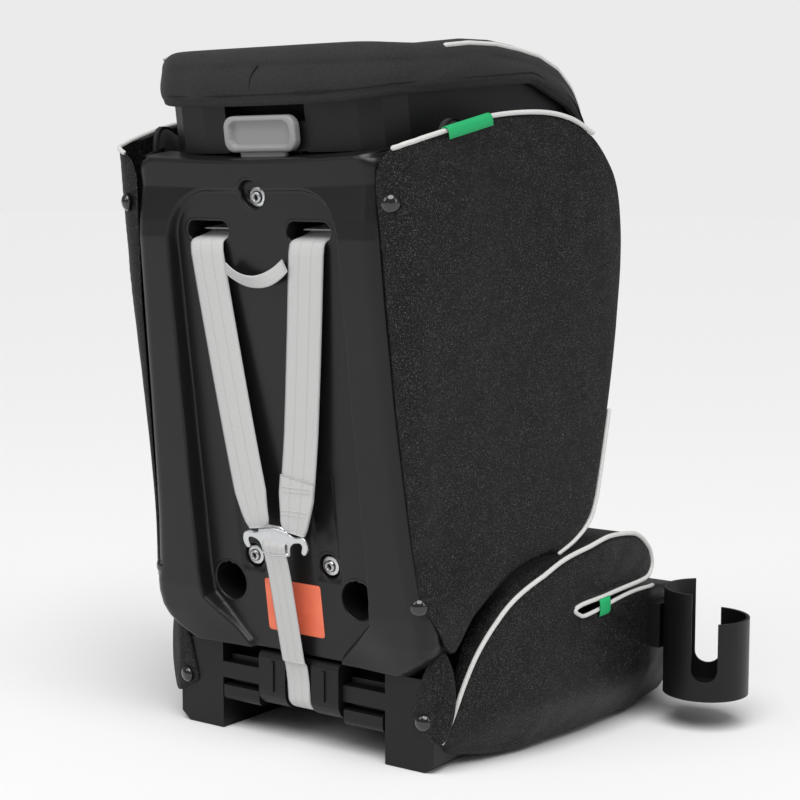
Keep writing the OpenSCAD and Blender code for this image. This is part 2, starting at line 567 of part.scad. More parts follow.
// ---- harness, back ----
module shoulder_straps() color(webbing) in_back() both() {
    v = cushion_v - clear;
    box([slot_x - strap_w / 2, v - strap_t, 150], [slot_x + strap_w / 2, v, slot_w]);
    box([slot_x - strap_w / 2, v - strap_t, slot_w - strap_t], [slot_x + strap_w / 2, panel_v - 8, slot_w]);
}
module shoulder_pads() color(cloth) in_back() both() difference() {
    box([slot_x - 26, cushion_v - 12, slot_w - 190], [slot_x + 26, cushion_v - clear, slot_w - 24]);
    box([slot_x - strap_w / 2 - 1, cushion_v - strap_t - 1.4, 0], [slot_x + strap_w / 2 + 1, cushion_v + 1,
        slot_w]);
}
module rear_strap() {
    // out of the slot, then down to the yoke's hook
    box([slot_x - strap_w / 2, panel_v - 7.8, slot_w - strap_t], [slot_x + strap_w / 2, panel_v + 3, slot_w]);
    hull() {
        box([slot_x - strap_w / 2, panel_v + 3, slot_w - 6], [slot_x + strap_w / 2, panel_v + 3 + strap_t, slot_w]);
        box([4, yoke_v + 2, yoke_w + 50], [4 + strap_w, yoke_v + 2 + strap_t, yoke_w + 54]);
    }
    hull() {
        box([4, yoke_v + 2, yoke_w + 48], [4 + strap_w, yoke_v + 2 + strap_t, yoke_w + 52]);
        box([6, yoke_v + 3, yoke_w + 22], [31, yoke_v + 4 + strap_t, yoke_w + 24]);
    }
}
module rear_strap_left() color(webbing) in_back() rear_strap();
module rear_strap_right() color(webbing) in_back() mirror([1, 0, 0]) rear_strap();
module cross_strap() color(webbing) in_back() slab_y(concat([[-slot_x + strap_w / 2 + 4, slot_w - 16]],
    [[slot_x - strap_w / 2 - 4, slot_w - 16]], arc(0, slot_w - 16, 31, -20, -160, 8)),
    panel_v + 5, panel_v + 5 + strap_t);
module harness_yoke() color(zinc) in_back() difference() {
    slab_y([[-13, yoke_w], [13, yoke_w], [17, yoke_w + 8], [24, yoke_w + 6], [30, yoke_w - 1], [36, yoke_w + 3],
        [34, yoke_w + 16], [20, yoke_w + 18], [0, yoke_w + 26], [-20, yoke_w + 18], [-34, yoke_w + 16],
        [-36, yoke_w + 3], [-30, yoke_w - 1], [-24, yoke_w + 6], [-17, yoke_w + 8]], yoke_v - 1.5, yoke_v + 1.5);
    box([-14, yoke_v - 4, yoke_w + 11], [14, yoke_v + 4, yoke_w + 15]);
}
module adjuster_strap_back() color(webbing) in_back() {
    v = yoke_v + 1.5 + clear;
    box([-adjust_w / 2, v, yoke_w - 3], [adjust_w / 2, v + strap_t, yoke_w + 14]);
    hull() {
        box([-adjust_w / 2, v, yoke_w - 6], [adjust_w / 2, v + strap_t, yoke_w - 2]);
        box([-adjust_w / 2, back_v + 4, low_w + 2], [adjust_w / 2, back_v + 4 + strap_t, low_w + 6]);
    }
}
// ---- headrest ----
function head_half() = concat([[0, -8], [70, -8], [100, -12], [121, -25], [134, -48]],
    [for (s = [0.12, 0.3, 0.52, 0.74, 0.9]) [136 + 28 * pow(s, 0.9), -48 - (head_depth - 54) * s]],
    [[158, 4 - head_depth]]);
function head_curve() = let (h = head_half()) concat(flip([for (i = [1:len(h) - 1]) h[i]]), h);
module head_sheet(d0, d1, w0, w1) translate([0, 0, w0]) linear_extrude(w1 - w0)
    polygon(band(head_curve(), d0, d1));
// the top follows the ground, not the lean, and the front corners are rounded off
function head_side(e) = let (f = e - head_depth) [[10, hem_w - 260], [10, head_top - e],
    [-71, head_top - 8 - e], [-126, head_top - 14 - e], [f + 87, head_top - 27 - e],
    [f + 38, head_top - 47 - e], [f + 14, head_top - 71], [f + 2, head_top - 104],
    [f + 6, head_top - 128], [f + 34, plate_w - 44], [f + 60, hem_w - 260]];
module headrest_cover() color(cloth) in_back() intersection() {
    difference() {
        linear_extrude(head_top) polygon(beside(head_curve(), 0));
        translate([0, 0, -1]) linear_extrude(head_top - 5) polygon(beside(head_curve(), -cover_t));
        translate([0, 0, hem_w - 300]) linear_extrude(300) polygon(beside(head_curve(), 1));
        // open at the child's side
        translate([0, 0, -1]) linear_extrude(head_top + 2) polygon(beside(head_curve(), -cover_t - 5));
    }
    slab_x(head_side(0), -200, 200);
}
module headrest_shell() color(black) in_back() {
    difference() {
        intersection() {
            head_sheet(-cover_t - 0.05, -cover_t - shell_wall, plate_w, head_top - 6);
            slab_x(head_side(8), -200, 200);
        }
        // window for the lever
        box([-44, -30, plate_w - 1], [44, 0, plate_w + 44]);
    }
    // two legs that run in the backrest
    both() box([leg_in, leg_v0, leg_low], [leg_out, leg_v1, plate_w + 26]);
    both() box([leg_in, leg_v0, plate_w + 1], [leg_out + 18, -cover_t - 8, plate_w + 26]);
}
module headrest_pad() color(cloth) in_back() {
    v = frame_v0 - 1;
    intersection() {
        difference() {
            linear_extrude(head_top - 6) polygon(beside(head_curve(), -cover_t - shell_wall - clear));
            translate([0, 0, -1]) linear_extrude(head_top) polygon(beside(head_curve(),
                -cover_t - shell_wall - head_pad_t));
            box([-200, v, 0], [200, 20, head_top]);
            box([-200, -400, -1], [200, 20, plate_w - 44]);
        }
        slab_x(head_side(4), -200, 200);
    }
    // back of the head cushion
    box([-118, v - 26, plate_w - 44], [118, v, head_top - 8]);
}
module belt_guides() color(grey) in_back() both() difference() {
    w = plate_w - 44.3;
    box([102, cushion_v - 32, w - 18], [118, cushion_v - 3, w]);
    box([101, cushion_v - 28, w - 14], [119, cushion_v - 7, w - 4]);
    box([101, cushion_v - 33, w - 12], [119, cushion_v - 27, w - 7]);
}
module headrest_lever() color(grey) in_back() {
    v = -15;
    difference() {
        slab_y(concat(arc(30, plate_w + 24, 11, 90, 0, 5), arc(30, plate_w + 11, 10, 0, -90, 5),
            arc(-30, plate_w + 11, 10, -90, -180, 5), arc(-30, plate_w + 24, 11, 180, 90, 5)), v, v + 9);
        slab_y([[-37, plate_w + 12], [-30, plate_w + 4], [30, plate_w + 4], [37, plate_w + 12],
            [37, plate_w + 24], [28, plate_w + 32], [-28, plate_w + 32], [-37, plate_w + 24]], v + 3, v + 10);
    }
    // two rods beside the top screw's post, down to the latch's wedge
    both() box([8.5, v - 5, latch_w + 30], [12.5, v - 1, plate_w + 20]);
    box([-12.5, v - 5, latch_w + 28], [12.5, v - 1, latch_w + 40]);
    box([-12.5, v - 5, plate_w + 8], [12.5, v + 1, plate_w + 20]);
}
module lever_latch() color(steel) in_back() {
    box([-8, frame_v1 + 4.4, latch_w], [8, frame_v1 + 11, latch_w + tooth_h]);
    box([-12.5, frame_v1 + 11, latch_w], [12.5, frame_v1 + 15, latch_w + 26]);
}
module lever_springs() color(steel) in_back() for (x = [-18, 18]) translate([x, leg_v1 + 3.4, plate_w - 34])
    difference() { cylinder(r = 2.5, h = 30); translate([0, 0, -1]) cylinder(r = 1.8, h = 32); }

base_shell();
underside_pan();
hinge_bar();
strap_guide();
seat_cushion();
seat_side_pads();
armrest_frames();
armrest_pad_left();
armrest_pad_right();
side_bolster_left();
side_bolster_right();
base_studs();
adjuster_housing();
adjuster_strap_base();
crotch_strap();
crotch_pad();
buckle_housing();
lap_straps();
lap_anchor_plates();
cup_holder_bracket();
pan_screws();
base_tab();
adjuster_button();
adjuster_spring();
buckle_button();
buckle_latch();
buckle_spring();
tongue_left();
tongue_right();
cup_holder();
back_shell();
back_frame();
hinge_hooks();
height_rack();
wing_panels();
wing_cover_left();
wing_cover_right();
wing_pad_left();
wing_pad_right();
back_cushion();
back_screws();
back_washers();
wing_studs();
back_label();
wing_tab();
shoulder_straps();
shoulder_pads();
headrest_shell();
headrest_cover();
headrest_pad();
belt_guides();
headrest_lever();
lever_latch();
lever_springs();
harness_yoke();
rear_strap_left();
rear_strap_right();
cross_strap();
adjuster_strap_back();
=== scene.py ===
"""Convertible child car seat seen from behind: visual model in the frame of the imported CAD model.

Backrest pieces are drawn in leaning coordinates: x across, v to the rear and w up along the lean, in
millimetres from the hinge bar's axis. Base pieces use the row frame in millimetres.
"""
import json
import math
import bmesh
import bpy
import numpy as np
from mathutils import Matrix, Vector
from mathutils.geometry import delaunay_2d_cdt


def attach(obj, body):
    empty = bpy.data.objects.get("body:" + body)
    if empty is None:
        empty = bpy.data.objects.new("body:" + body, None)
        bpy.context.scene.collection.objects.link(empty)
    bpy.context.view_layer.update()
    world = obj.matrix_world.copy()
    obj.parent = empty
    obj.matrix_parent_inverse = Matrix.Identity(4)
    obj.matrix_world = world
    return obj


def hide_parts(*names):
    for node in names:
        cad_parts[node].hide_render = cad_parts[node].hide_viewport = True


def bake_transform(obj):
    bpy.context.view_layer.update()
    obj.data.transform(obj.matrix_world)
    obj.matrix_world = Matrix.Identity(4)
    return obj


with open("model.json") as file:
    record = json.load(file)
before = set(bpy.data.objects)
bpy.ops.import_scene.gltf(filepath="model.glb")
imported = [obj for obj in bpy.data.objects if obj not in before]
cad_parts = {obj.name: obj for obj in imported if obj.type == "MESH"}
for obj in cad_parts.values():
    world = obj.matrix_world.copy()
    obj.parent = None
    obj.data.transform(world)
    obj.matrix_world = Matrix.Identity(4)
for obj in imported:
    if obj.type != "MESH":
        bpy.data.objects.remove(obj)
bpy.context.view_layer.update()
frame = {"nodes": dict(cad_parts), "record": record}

LEAN = math.radians(8)
CL, SL = math.cos(LEAN), math.sin(LEAN)
HINGE_Y, HINGE_Z = 190.0, 56.0
TOP_W, BACK_V = 474.0, 11.5
SLOT_X, SLOT_W = 56.0, 414.0


# ---------------------------------------------------------------- geometry helpers
def back(x, v, w):
    """Leaning x, v, w in millimetres to the row frame in metres."""
    x, v, w = np.broadcast_arrays(*[np.asarray(q, float) for q in (x, v, w)])
    return np.stack([x, HINGE_Y + v * CL + w * SL, HINGE_Z - v * SL + w * CL], -1) / 1000


def row(x, y, z):
    """Row frame millimetres to metres."""
    return np.stack(np.broadcast_arrays(*[np.asarray(q, float) for q in (x, y, z)]), -1) / 1000


def smooth(a, b, t):
    """0 below a, 1 above b, with level ends."""
    s = np.clip((np.asarray(t, float) - a) / (b - a), 0, 1)
    return s * s * (3 - 2 * s)


def spline(pts, n, closed=False):
    """A smooth curve through points (Catmull-Rom, centripetal by chord), resampled to n even steps."""
    p = np.asarray(pts, float)
    ext = np.vstack([p[-1:], p, p[:2]]) if closed else np.vstack([2 * p[0] - p[1], p, 2 * p[-1] - p[-2]])
    segs = len(p) if closed else len(p) - 1
    t = np.linspace(0, 1, 24, endpoint=False)[:, None, None]
    a, b, c, d = (ext[i:i + segs][None] for i in range(4))
    k = 0.5 * (2 * b + (c - a) * t + (2 * a - 5 * b + 4 * c - d) * t ** 2 + (3 * b - a - 3 * c + d) * t ** 3)
    q = k.transpose(1, 0, 2).reshape(-1, p.shape[1])
    q = np.vstack([q, p[:1] if closed else p[-1:]])
    s = np.concatenate([[0], np.cumsum(np.linalg.norm(np.diff(q, axis=0), axis=1))])
    u = np.linspace(0, s[-1], n, endpoint=not closed)
    return np.stack([np.interp(u, s, q[:, i]) for i in range(p.shape[1])], 1)


def arc_length(p):
    """Length along a path at each of its points."""
    return np.concatenate([[0], np.cumsum(np.linalg.norm(np.diff(p, axis=0), axis=1))])


def mesh_from(name, verts, faces, material, uv=None, shade=True):
    """An object from arrays of vertices and faces (quads or triangles), with one UV per face corner."""
    me = bpy.data.meshes.new(name)
    me.from_pydata(np.asarray(verts).tolist(), [], np.asarray(faces).tolist())
    if uv is not None:
        layer = me.uv_layers.new(name="UVMap")
        layer.data.foreach_set("uv", np.asarray(uv, np.float32).ravel())
    me.polygons.foreach_set("use_smooth", np.full(len(me.polygons), shade))
    me.materials.append(material)
    me.update()
    ob = bpy.data.objects.new(name, me)
    bpy.context.collection.objects.link(ob)
    return ob


def grid(name, P, material, wrap_u=False, wrap_v=False, uv=None):
    """A sheet through points P[i, j]; wrapped directions join up. uv holds one pair per point."""
    nu, nv = P.shape[:2]
    i, j = np.meshgrid(np.arange(nu if wrap_u else nu - 1), np.arange(nv if wrap_v else nv - 1),
            indexing="ij")
    i, j = i.ravel(), j.ravel()
    i2, j2 = (i + 1) % nu, (j + 1) % nv
    f = np.stack([i * nv + j, i2 * nv + j, i2 * nv + j2, i * nv + j2], 1)
    if uv is None:
        uv = np.stack(np.meshgrid(np.linspace(0, 1, nu), np.linspace(0, 1, nv), indexing="ij"), -1)
    flat = uv.reshape(-1, 2)
    cuv = flat[f.ravel()].reshape(len(f), 4, 2)
    if wrap_u:
        cuv[i2 == 0, 1:3, 0] += 1
    if wrap_v:
        cuv[j2 == 0, 2:4, 1] += 1
    return mesh_from(name, P.reshape(-1, 3), f, material, cuv)


def frames_along(path):
    """Tangents, sides and ups along a path, turned as little as they can be."""
    t = np.gradient(path, axis=0)
    t /= np.linalg.norm(t, axis=1)[:, None]
    up = np.array([0.0, 0.0, 1.0]) if abs(t[0, 2]) < 0.9 else np.array([1.0, 0.0, 0.0])
    sides = np.empty_like(t)
    s = np.cross(t[0], up)
    for k in range(len(t)):
        s = s - t[k] * (s @ t[k])
        s /= np.linalg.norm(s)
        sides[k] = s
    return t, sides, np.cross(sides, t)


def tube(name, path, r, material, around=12, closed=False, ends=True):
    """A round cord of radius r (metres, or one per point) along a path, with rounded ends."""
    path = np.asarray(path, float)
    r = np.broadcast_to(np.asarray(r, float), len(path)).copy()
    if ends and not closed:
        t0, t1 = path[0] - path[1], path[-1] - path[-2]
        t0, t1 = t0 / np.linalg.norm(t0), t1 / np.linalg.norm(t1)
        path = np.vstack([path[0] + t0 * r[0] * 0.95, path[0] + t0 * r[0] * 0.6, path,
                path[-1] + t1 * r[-1] * 0.6,
                          path[-1] + t1 * r[-1] * 0.95])
        r = np.concatenate([[r[0] * 0.25, r[0] * 0.8], r, [r[-1] * 0.8, r[-1] * 0.25]])
    if closed:
        path = np.vstack([path, path[:1]])
        r = np.append(r, r[0])
    a, b = frames_along(path)[1:]
    th = np.linspace(0, 2 * np.pi, around, endpoint=False)
    P = path[:, None] + r[:, None, None] * (a[:, None] * np.cos(th)[None, :, None] + b[:,
            None] * np.sin(th)[None, :, None])
    s = arc_length(path)
    uv = np.stack(np.broadcast_arrays(s[:, None] * 100, (th / 2 / np.pi)[None]), -1)
    return grid(name, P, material, wrap_v=True, uv=uv)


def ribbon(name, path, side, width, thick, material, across=17, bow=0.0):
    """Webbing: a flat band with rounded edges along a path (metres). side is its crosswise direction at each
    point, width may differ from point to point and bow lifts the middle. UV: u across, v metres along."""
    path, side = np.asarray(path, float), np.asarray(side, float)
    t = np.gradient(path, axis=0)
    t /= np.linalg.norm(t, axis=1)[:, None]
    side = side - t * (side * t).sum(1)[:, None]
    side /= np.linalg.norm(side, axis=1)[:, None]
    nrm = np.cross(side, t)
    width = np.broadcast_to(np.asarray(width, float), len(path))
    thick = np.broadcast_to(np.asarray(thick, float), len(path))
    bow = np.broadcast_to(np.asarray(bow, float), len(path))
    u = np.linspace(-1, 1, across)
    edge = np.sqrt(np.clip(1 - np.abs(u) ** 10, 0, 1))
    ring_u = np.concatenate([u, u[::-1][1:-1]])
    ring_h = np.concatenate([edge, -edge[::-1][1:-1]]) * 0.5
    P = (path[:, None] + side[:, None] * (ring_u[None, :, None] * width[:, None, None] / 2)
         + nrm[:, None] * (ring_h[None, :, None] * thick[:, None, None]
                           + ((1 - ring_u ** 2)[None, :] * bow[:, None])[..., None]))
    s = arc_length(path)
    uv = np.stack(np.broadcast_arrays((ring_u[None] + 1) / 2, s[:, None]), -1)
    ob = grid(name, P, material, wrap_v=True, uv=uv)
    # the ring turns back at its edges, so the wrapped faces keep their own u
    me = ob.data
    k = len(me.loops)
    flat = np.empty(k * 2, np.float32)
    me.uv_layers[0].data.foreach_get("uv", flat)
    flat = flat.reshape(-1, 4, 2)
    flat[..., 0] = np.clip(flat[..., 0], 0, 1)
    me.uv_layers[0].data.foreach_set("uv", flat.ravel())
    n = len(ring_u)
    bm = bmesh.new()
    bm.from_mesh(me)
    bm.verts.ensure_lookup_table()
    for ring in (list(range(n))[::-1], [len(bm.verts) - n + q for q in range(n)]):
        bm.faces.new([bm.verts[q] for q in ring])
    bm.to_mesh(me)
    bm.free()
    return ob


# ---------------------------------------------------------------- materials
def material(name, colour, rough, build=None, **extra):
    """A principled material. build(tree, shader, coordinates) adds its procedural detail."""
    m = bpy.data.materials.new(name)
    m.use_nodes = True
    t = m.node_tree
    b = t.nodes["Principled BSDF"]
    b.inputs["Base Color"].default_value = (*colour, 1)
    b.inputs["Roughness"].default_value = rough
    for k, v in extra.items():
        b.inputs[k.replace("_", " ")].default_value = v
    if build:
        c = t.nodes.new("ShaderNodeTexCoord")
        build(t, b, c)
    return m


def node(t, kind, **inputs):
    """A shader node with its inputs linked or set."""
    n = t.nodes.new(kind)
    for k, v in inputs.items():
        if hasattr(v, "is_output"):
            t.links.new(v, n.inputs[k.replace("_", " ")])
        else:
            n.inputs[k.replace("_", " ")].default_value = v
    return n


def maths(t, op, a, b=0.0, c=0.0):
    """One step of arithmetic between sockets or numbers."""
    n = t.nodes.new("ShaderNodeMath")
    n.operation = op
    for i, v in enumerate((a, b, c)):
        if hasattr(v, "is_output"):
            t.links.new(v, n.inputs[i])
        else:
            n.inputs[i].default_value = v
    return n.outputs[0]


def mix(t, fac, a, b):
    """A colour between a and b."""
    n = t.nodes.new("ShaderNodeMix")
    n.data_type = "RGBA"
    for i, v in ((0, fac), (6, a), (7, b)):
        if hasattr(v, "is_output"):
            t.links.new(v, n.inputs[i])
        else:
            n.inputs[i].default_value = v if i == 0 else (*v, 1)
    return n.outputs[2]


def bump(t, b, height, strength, distance):
    """Fine relief on the shader."""
    n = node(t, "ShaderNodeBump", Height=height, Strength=strength, Distance=distance)
    t.links.new(n.outputs[0], b.inputs["Normal"])


def span(t, v, lo, hi, out_lo=0.0, out_hi=1.0):
    """A value moved from one range into another."""
    n = t.nodes.new("ShaderNodeMapRange")
    t.links.new(v, n.inputs[0])
    for i, q in enumerate((lo, hi, out_lo, out_hi)):
        n.inputs[i + 1].default_value = q
    return n.outputs[0]


def plastic_detail(grain, scuff, scale=1900.0):
    """Moulded plastic: a fine grain, and a sheen that wanders a little."""
    def build(t, b, c):
        n = node(t, "ShaderNodeTexNoise", Vector=c.outputs["Object"], Scale=scale, Detail=2.0, Roughness=0.6)
        big = node(t, "ShaderNodeTexNoise", Vector=c.outputs["Object"], Scale=9.0, Detail=3.0)
        t.links.new(span(t, big.outputs[0], 0.3, 0.7, b.inputs["Roughness"].default_value - scuff,
                         b.inputs["Roughness"].default_value + scuff), b.inputs["Roughness"])
        bump(t, b, n.outputs[0], grain, 0.0002)
    return build


def grain_detail(t, b, c):
    """Pebbled leather-cloth: cells with soft valleys, and a fine pale glint in some of the valleys."""
    big = node(t, "ShaderNodeTexNoise", Vector=c.outputs["Object"], Scale=70.0, Detail=2.0)
    warp = node(t, "ShaderNodeTexNoise", Vector=c.outputs["Object"], Scale=260.0, Detail=1.0)
    shift = t.nodes.new("ShaderNodeVectorMath")
    shift.operation = "MULTIPLY_ADD"
    t.links.new(warp.outputs["Color"], shift.inputs[0])
    shift.inputs[1].default_value = (0.004, 0.004, 0.004)
    t.links.new(c.outputs["Object"], shift.inputs[2])
    edge = node(t, "ShaderNodeTexVoronoi", Vector=shift.outputs[0], Scale=560.0)
    edge.feature = "DISTANCE_TO_EDGE"
    fine = node(t, "ShaderNodeTexNoise", Vector=c.outputs["Object"], Scale=1100.0, Detail=2.0)
    valley = span(t, edge.outputs["Distance"], 0.0, 0.14, 1.0, 0.0)
    sparse = span(t, fine.outputs[0], 0.5, 0.62)
    patch = span(t, big.outputs[0], 0.3, 0.5, 0.45, 1.0)
    glint = maths(t, "MULTIPLY", maths(t, "MULTIPLY", valley, sparse), patch)
    col = mix(t, maths(t, "MULTIPLY", glint, 0.6), (0.0022, 0.0022, 0.0023), (0.16, 0.16, 0.155))
    t.links.new(col, b.inputs["Base Color"])
    h = maths(t, "ADD", maths(t, "MULTIPLY", edge.outputs["Distance"], 0.8), maths(t, "MULTIPLY",
            fine.outputs[0], 0.2))
    bump(t, b, h, 0.35, 0.0006)


def knit_detail(t, b, c):
    """Fine stretch knit: two crossed waves of small loops, a little mottled."""
    a = node(t, "ShaderNodeTexVoronoi", Vector=c.outputs["Object"], Scale=900.0)
    big = node(t, "ShaderNodeTexNoise", Vector=c.outputs["Object"], Scale=420.0, Detail=3.0)
    soft = node(t, "ShaderNodeTexNoise", Vector=c.outputs["Object"], Scale=14.0, Detail=2.0)
    v = maths(t, "ADD", maths(t, "MULTIPLY", big.outputs[0], 0.7), maths(t, "MULTIPLY", soft.outputs[0], 0.3))
    t.links.new(mix(t, span(t, v, 0.35, 0.65), (0.0065, 0.0065, 0.007), (0.016, 0.016, 0.017)),
            b.inputs["Base Color"])
    bump(t, b, maths(t, "ADD", a.outputs["Distance"], big.outputs[0]), 0.5, 0.0004)


def webbing_detail(colour):
    """Ribbed webbing: crosswise ribs, lengthwise yarns and two shallow grooves; UV in bands and metres."""
    def build(t, b, c):
        x = t.nodes.new("ShaderNodeSeparateXYZ")
        t.links.new(c.outputs["UV"], x.inputs[0])
        rib = maths(t, "SINE", maths(t, "MULTIPLY", x.outputs[1], 2 * math.pi / 0.0011))
        yarn = maths(t, "SINE", maths(t, "MULTIPLY", x.outputs[0], 2 * math.pi * 36))
        third = maths(t, "ABSOLUTE", maths(t, "SUBTRACT", maths(t, "FRACT", maths(t, "MULTIPLY",
                x.outputs[0], 3.0)), 0.5))
        groove = span(t, third, 0.44, 0.5)
        n = node(t, "ShaderNodeTexNoise", Vector=c.outputs["Object"], Scale=900.0, Detail=2.0)
        h = maths(t, "ADD", maths(t, "MULTIPLY", rib, 0.5), maths(t, "MULTIPLY", yarn, 0.35))
        h = maths(t, "SUBTRACT", h, maths(t, "MULTIPLY", groove, 2.2))
        shade = maths(t, "ADD", span(t, h, -1.5, 1.0, 0.0, 0.8), maths(t, "MULTIPLY", n.outputs[0], 0.3))
        dark = tuple(q * 0.74 for q in colour)
        t.links.new(mix(t, shade, dark, colour), b.inputs["Base Color"])
        bump(t, b, h, 0.35, 0.0003)
    return build


def thread_detail(t, b, c):
    """Piping cloth: a fine diagonal twill along the cord."""
    x = t.nodes.new("ShaderNodeSeparateXYZ")
    t.links.new(c.outputs["UV"], x.inputs[0])
    w = maths(t, "SINE", maths(t, "MULTIPLY", maths(t, "ADD", x.outputs[0], x.outputs[1]), 40.0))
    n = node(t, "ShaderNodeTexNoise", Vector=c.outputs["Object"], Scale=1500.0)
    t.links.new(mix(t, span(t, n.outputs[0], 0.3, 0.7), (0.5, 0.5, 0.49), (0.72, 0.72, 0.7)),
            b.inputs["Base Color"])
    bump(t, b, w, 0.2, 0.0002)


def metal_detail(t, b, c):
    """Plated metal with uneven gloss."""
    n = node(t, "ShaderNodeTexNoise", Vector=c.outputs["Object"], Scale=260.0, Detail=4.0)
    t.links.new(span(t, n.outputs[0], 0.3, 0.7, 0.22, 0.42), b.inputs["Roughness"])
    bump(t, b, n.outputs[0], 0.08, 0.0004)


def tape_detail(t, b, c):
    """Woven tape, mottled."""
    n = node(t, "ShaderNodeTexNoise", Vector=c.outputs["Object"], Scale=700.0, Detail=2.0)
    w = node(t, "ShaderNodeTexVoronoi", Vector=c.outputs["Object"], Scale=1300.0)
    t.links.new(mix(t, n.outputs[0], (0.0, 0.29, 0.09), (0.01, 0.45, 0.15)), b.inputs["Base Color"])
    bump(t, b, w.outputs["Distance"], 0.3, 0.0004)


def label_detail(t, b, c):
    """Printed colour, slightly uneven."""
    n = node(t, "ShaderNodeTexNoise", Vector=c.outputs["Object"], Scale=60.0, Detail=3.0)
    t.links.new(mix(t, span(t, n.outputs[0], 0.35, 0.65), (0.86, 0.17, 0.085), (0.92, 0.2, 0.1)),
                b.inputs["Base Color"])


BLACK = material("black_plastic", (0.0065, 0.0065, 0.0068), 0.4, plastic_detail(0.12, 0.05),
        Specular_IOR_Level=0.3)
SATIN = material("shell_plastic", (0.0075, 0.0075, 0.0079), 0.33, plastic_detail(0.1, 0.05),
        Specular_IOR_Level=0.34)
CUP = material("cup_plastic", (0.006, 0.006, 0.0064), 0.4, plastic_detail(0.15, 0.04), Specular_IOR_Level=0.3)
GRAIN = material("grain_cover", (0.0022, 0.0022, 0.0023), 0.5, grain_detail, Specular_IOR_Level=0.22)
KNIT = material("charcoal_knit", (0.016, 0.016, 0.017), 0.85, knit_detail, Sheen_Weight=0.06,
        Sheen_Roughness=0.5)
WEB = material("webbing", (0.56, 0.56, 0.555), 0.55, webbing_detail((0.6, 0.6, 0.595)), Sheen_Weight=0.1)
PIPE = material("piping", (0.65, 0.65, 0.64), 0.7, thread_detail)
STITCH = material("stitching", (0.12, 0.12, 0.12), 0.7, thread_detail)
ZINC = material("zinc", (0.62, 0.63, 0.64), 0.3, metal_detail, Metallic=1.0)
STEEL = material("steel", (0.5, 0.5, 0.51), 0.28, metal_detail, Metallic=1.0)
GREY = material("grey_plastic", (0.3, 0.3, 0.305), 0.45, plastic_detail(0.12, 0.04))
STUD = material("stud", (0.008, 0.008, 0.009), 0.1, plastic_detail(0.0, 0.02), Coat_Weight=0.6,
        Coat_Roughness=0.05)
ORANGE = material("orange_label", (0.9, 0.18, 0.09), 0.42, label_detail)
GREEN = material("green_tape", (0.005, 0.37, 0.12), 0.7, tape_detail)
RED = material("red_plastic", (0.5, 0.015, 0.012), 0.3, plastic_detail(0.05, 0.03))
# near black: the dark seams' own colour, and painted shade down in the screw sockets
DARK = material("seam_dark_and_socket_shade", (0.003, 0.003, 0.003), 0.9, plastic_detail(0.1, 0.02))


# ---------------------------------------------------------------- padded panels from an outline
def resample(outline, step, closed=True):
    """An outline in even steps."""
    p = np.asarray(outline, float)
    q = np.vstack([p, p[:1]]) if closed else p
    s = arc_length(q)
    n = max(int(round(s[-1] / step)), 8)
    u = np.linspace(0, s[-1], n, endpoint=not closed)
    return np.stack([np.interp(u, s, q[:, 0]), np.interp(u, s, q[:, 1])], 1)


def distance_to(points, loop):
    """Distance from each point to a closed polyline."""
    a, b = loop, np.roll(loop, -1, 0)
    d = b - a
    L = (d ** 2).sum(1)
    best = np.full(len(points), 1e9)
    for k in range(0, len(points), 2000):
        p = points[k:k + 2000, None]
        t = np.clip(((p - a) * d).sum(-1) / L, 0, 1)
        best[k:k + 2000] = np.sqrt((((p - a) - t[..., None] * d) ** 2).sum(-1)).min(1)
    return best


def inside(points, loop):
    """Whether each point lies within a closed polyline."""
    x, y = points[:, :1], points[:, 1:]
    a, b = loop, np.roll(loop, -1, 0)
    hit = ((a[:, 1] > y) != (b[:, 1] > y)) & (x < (b[:, 0] - a[:, 0]) * (y - a[:, 1]) / (b[:, 1] - a[:,
            1] + 1e-12) + a[:, 0])
    return hit.sum(1) % 2 == 1


def ripple(p, scale, seed, n=7):
    """Smooth unevenness from -1 to 1: a sum of waves in fixed directions."""
    g = np.random.default_rng(seed)
    out = np.zeros(p.shape[:-1])
    for k in range(n):
        d = g.normal(size=p.shape[-1])
        d /= np.linalg.norm(d)
        f = 2 * np.pi / (scale * g.uniform(0.6, 1.6))
        out += np.sin((p @ d) * f + g.uniform(0, 6.28)) / n
    return out * 1.6


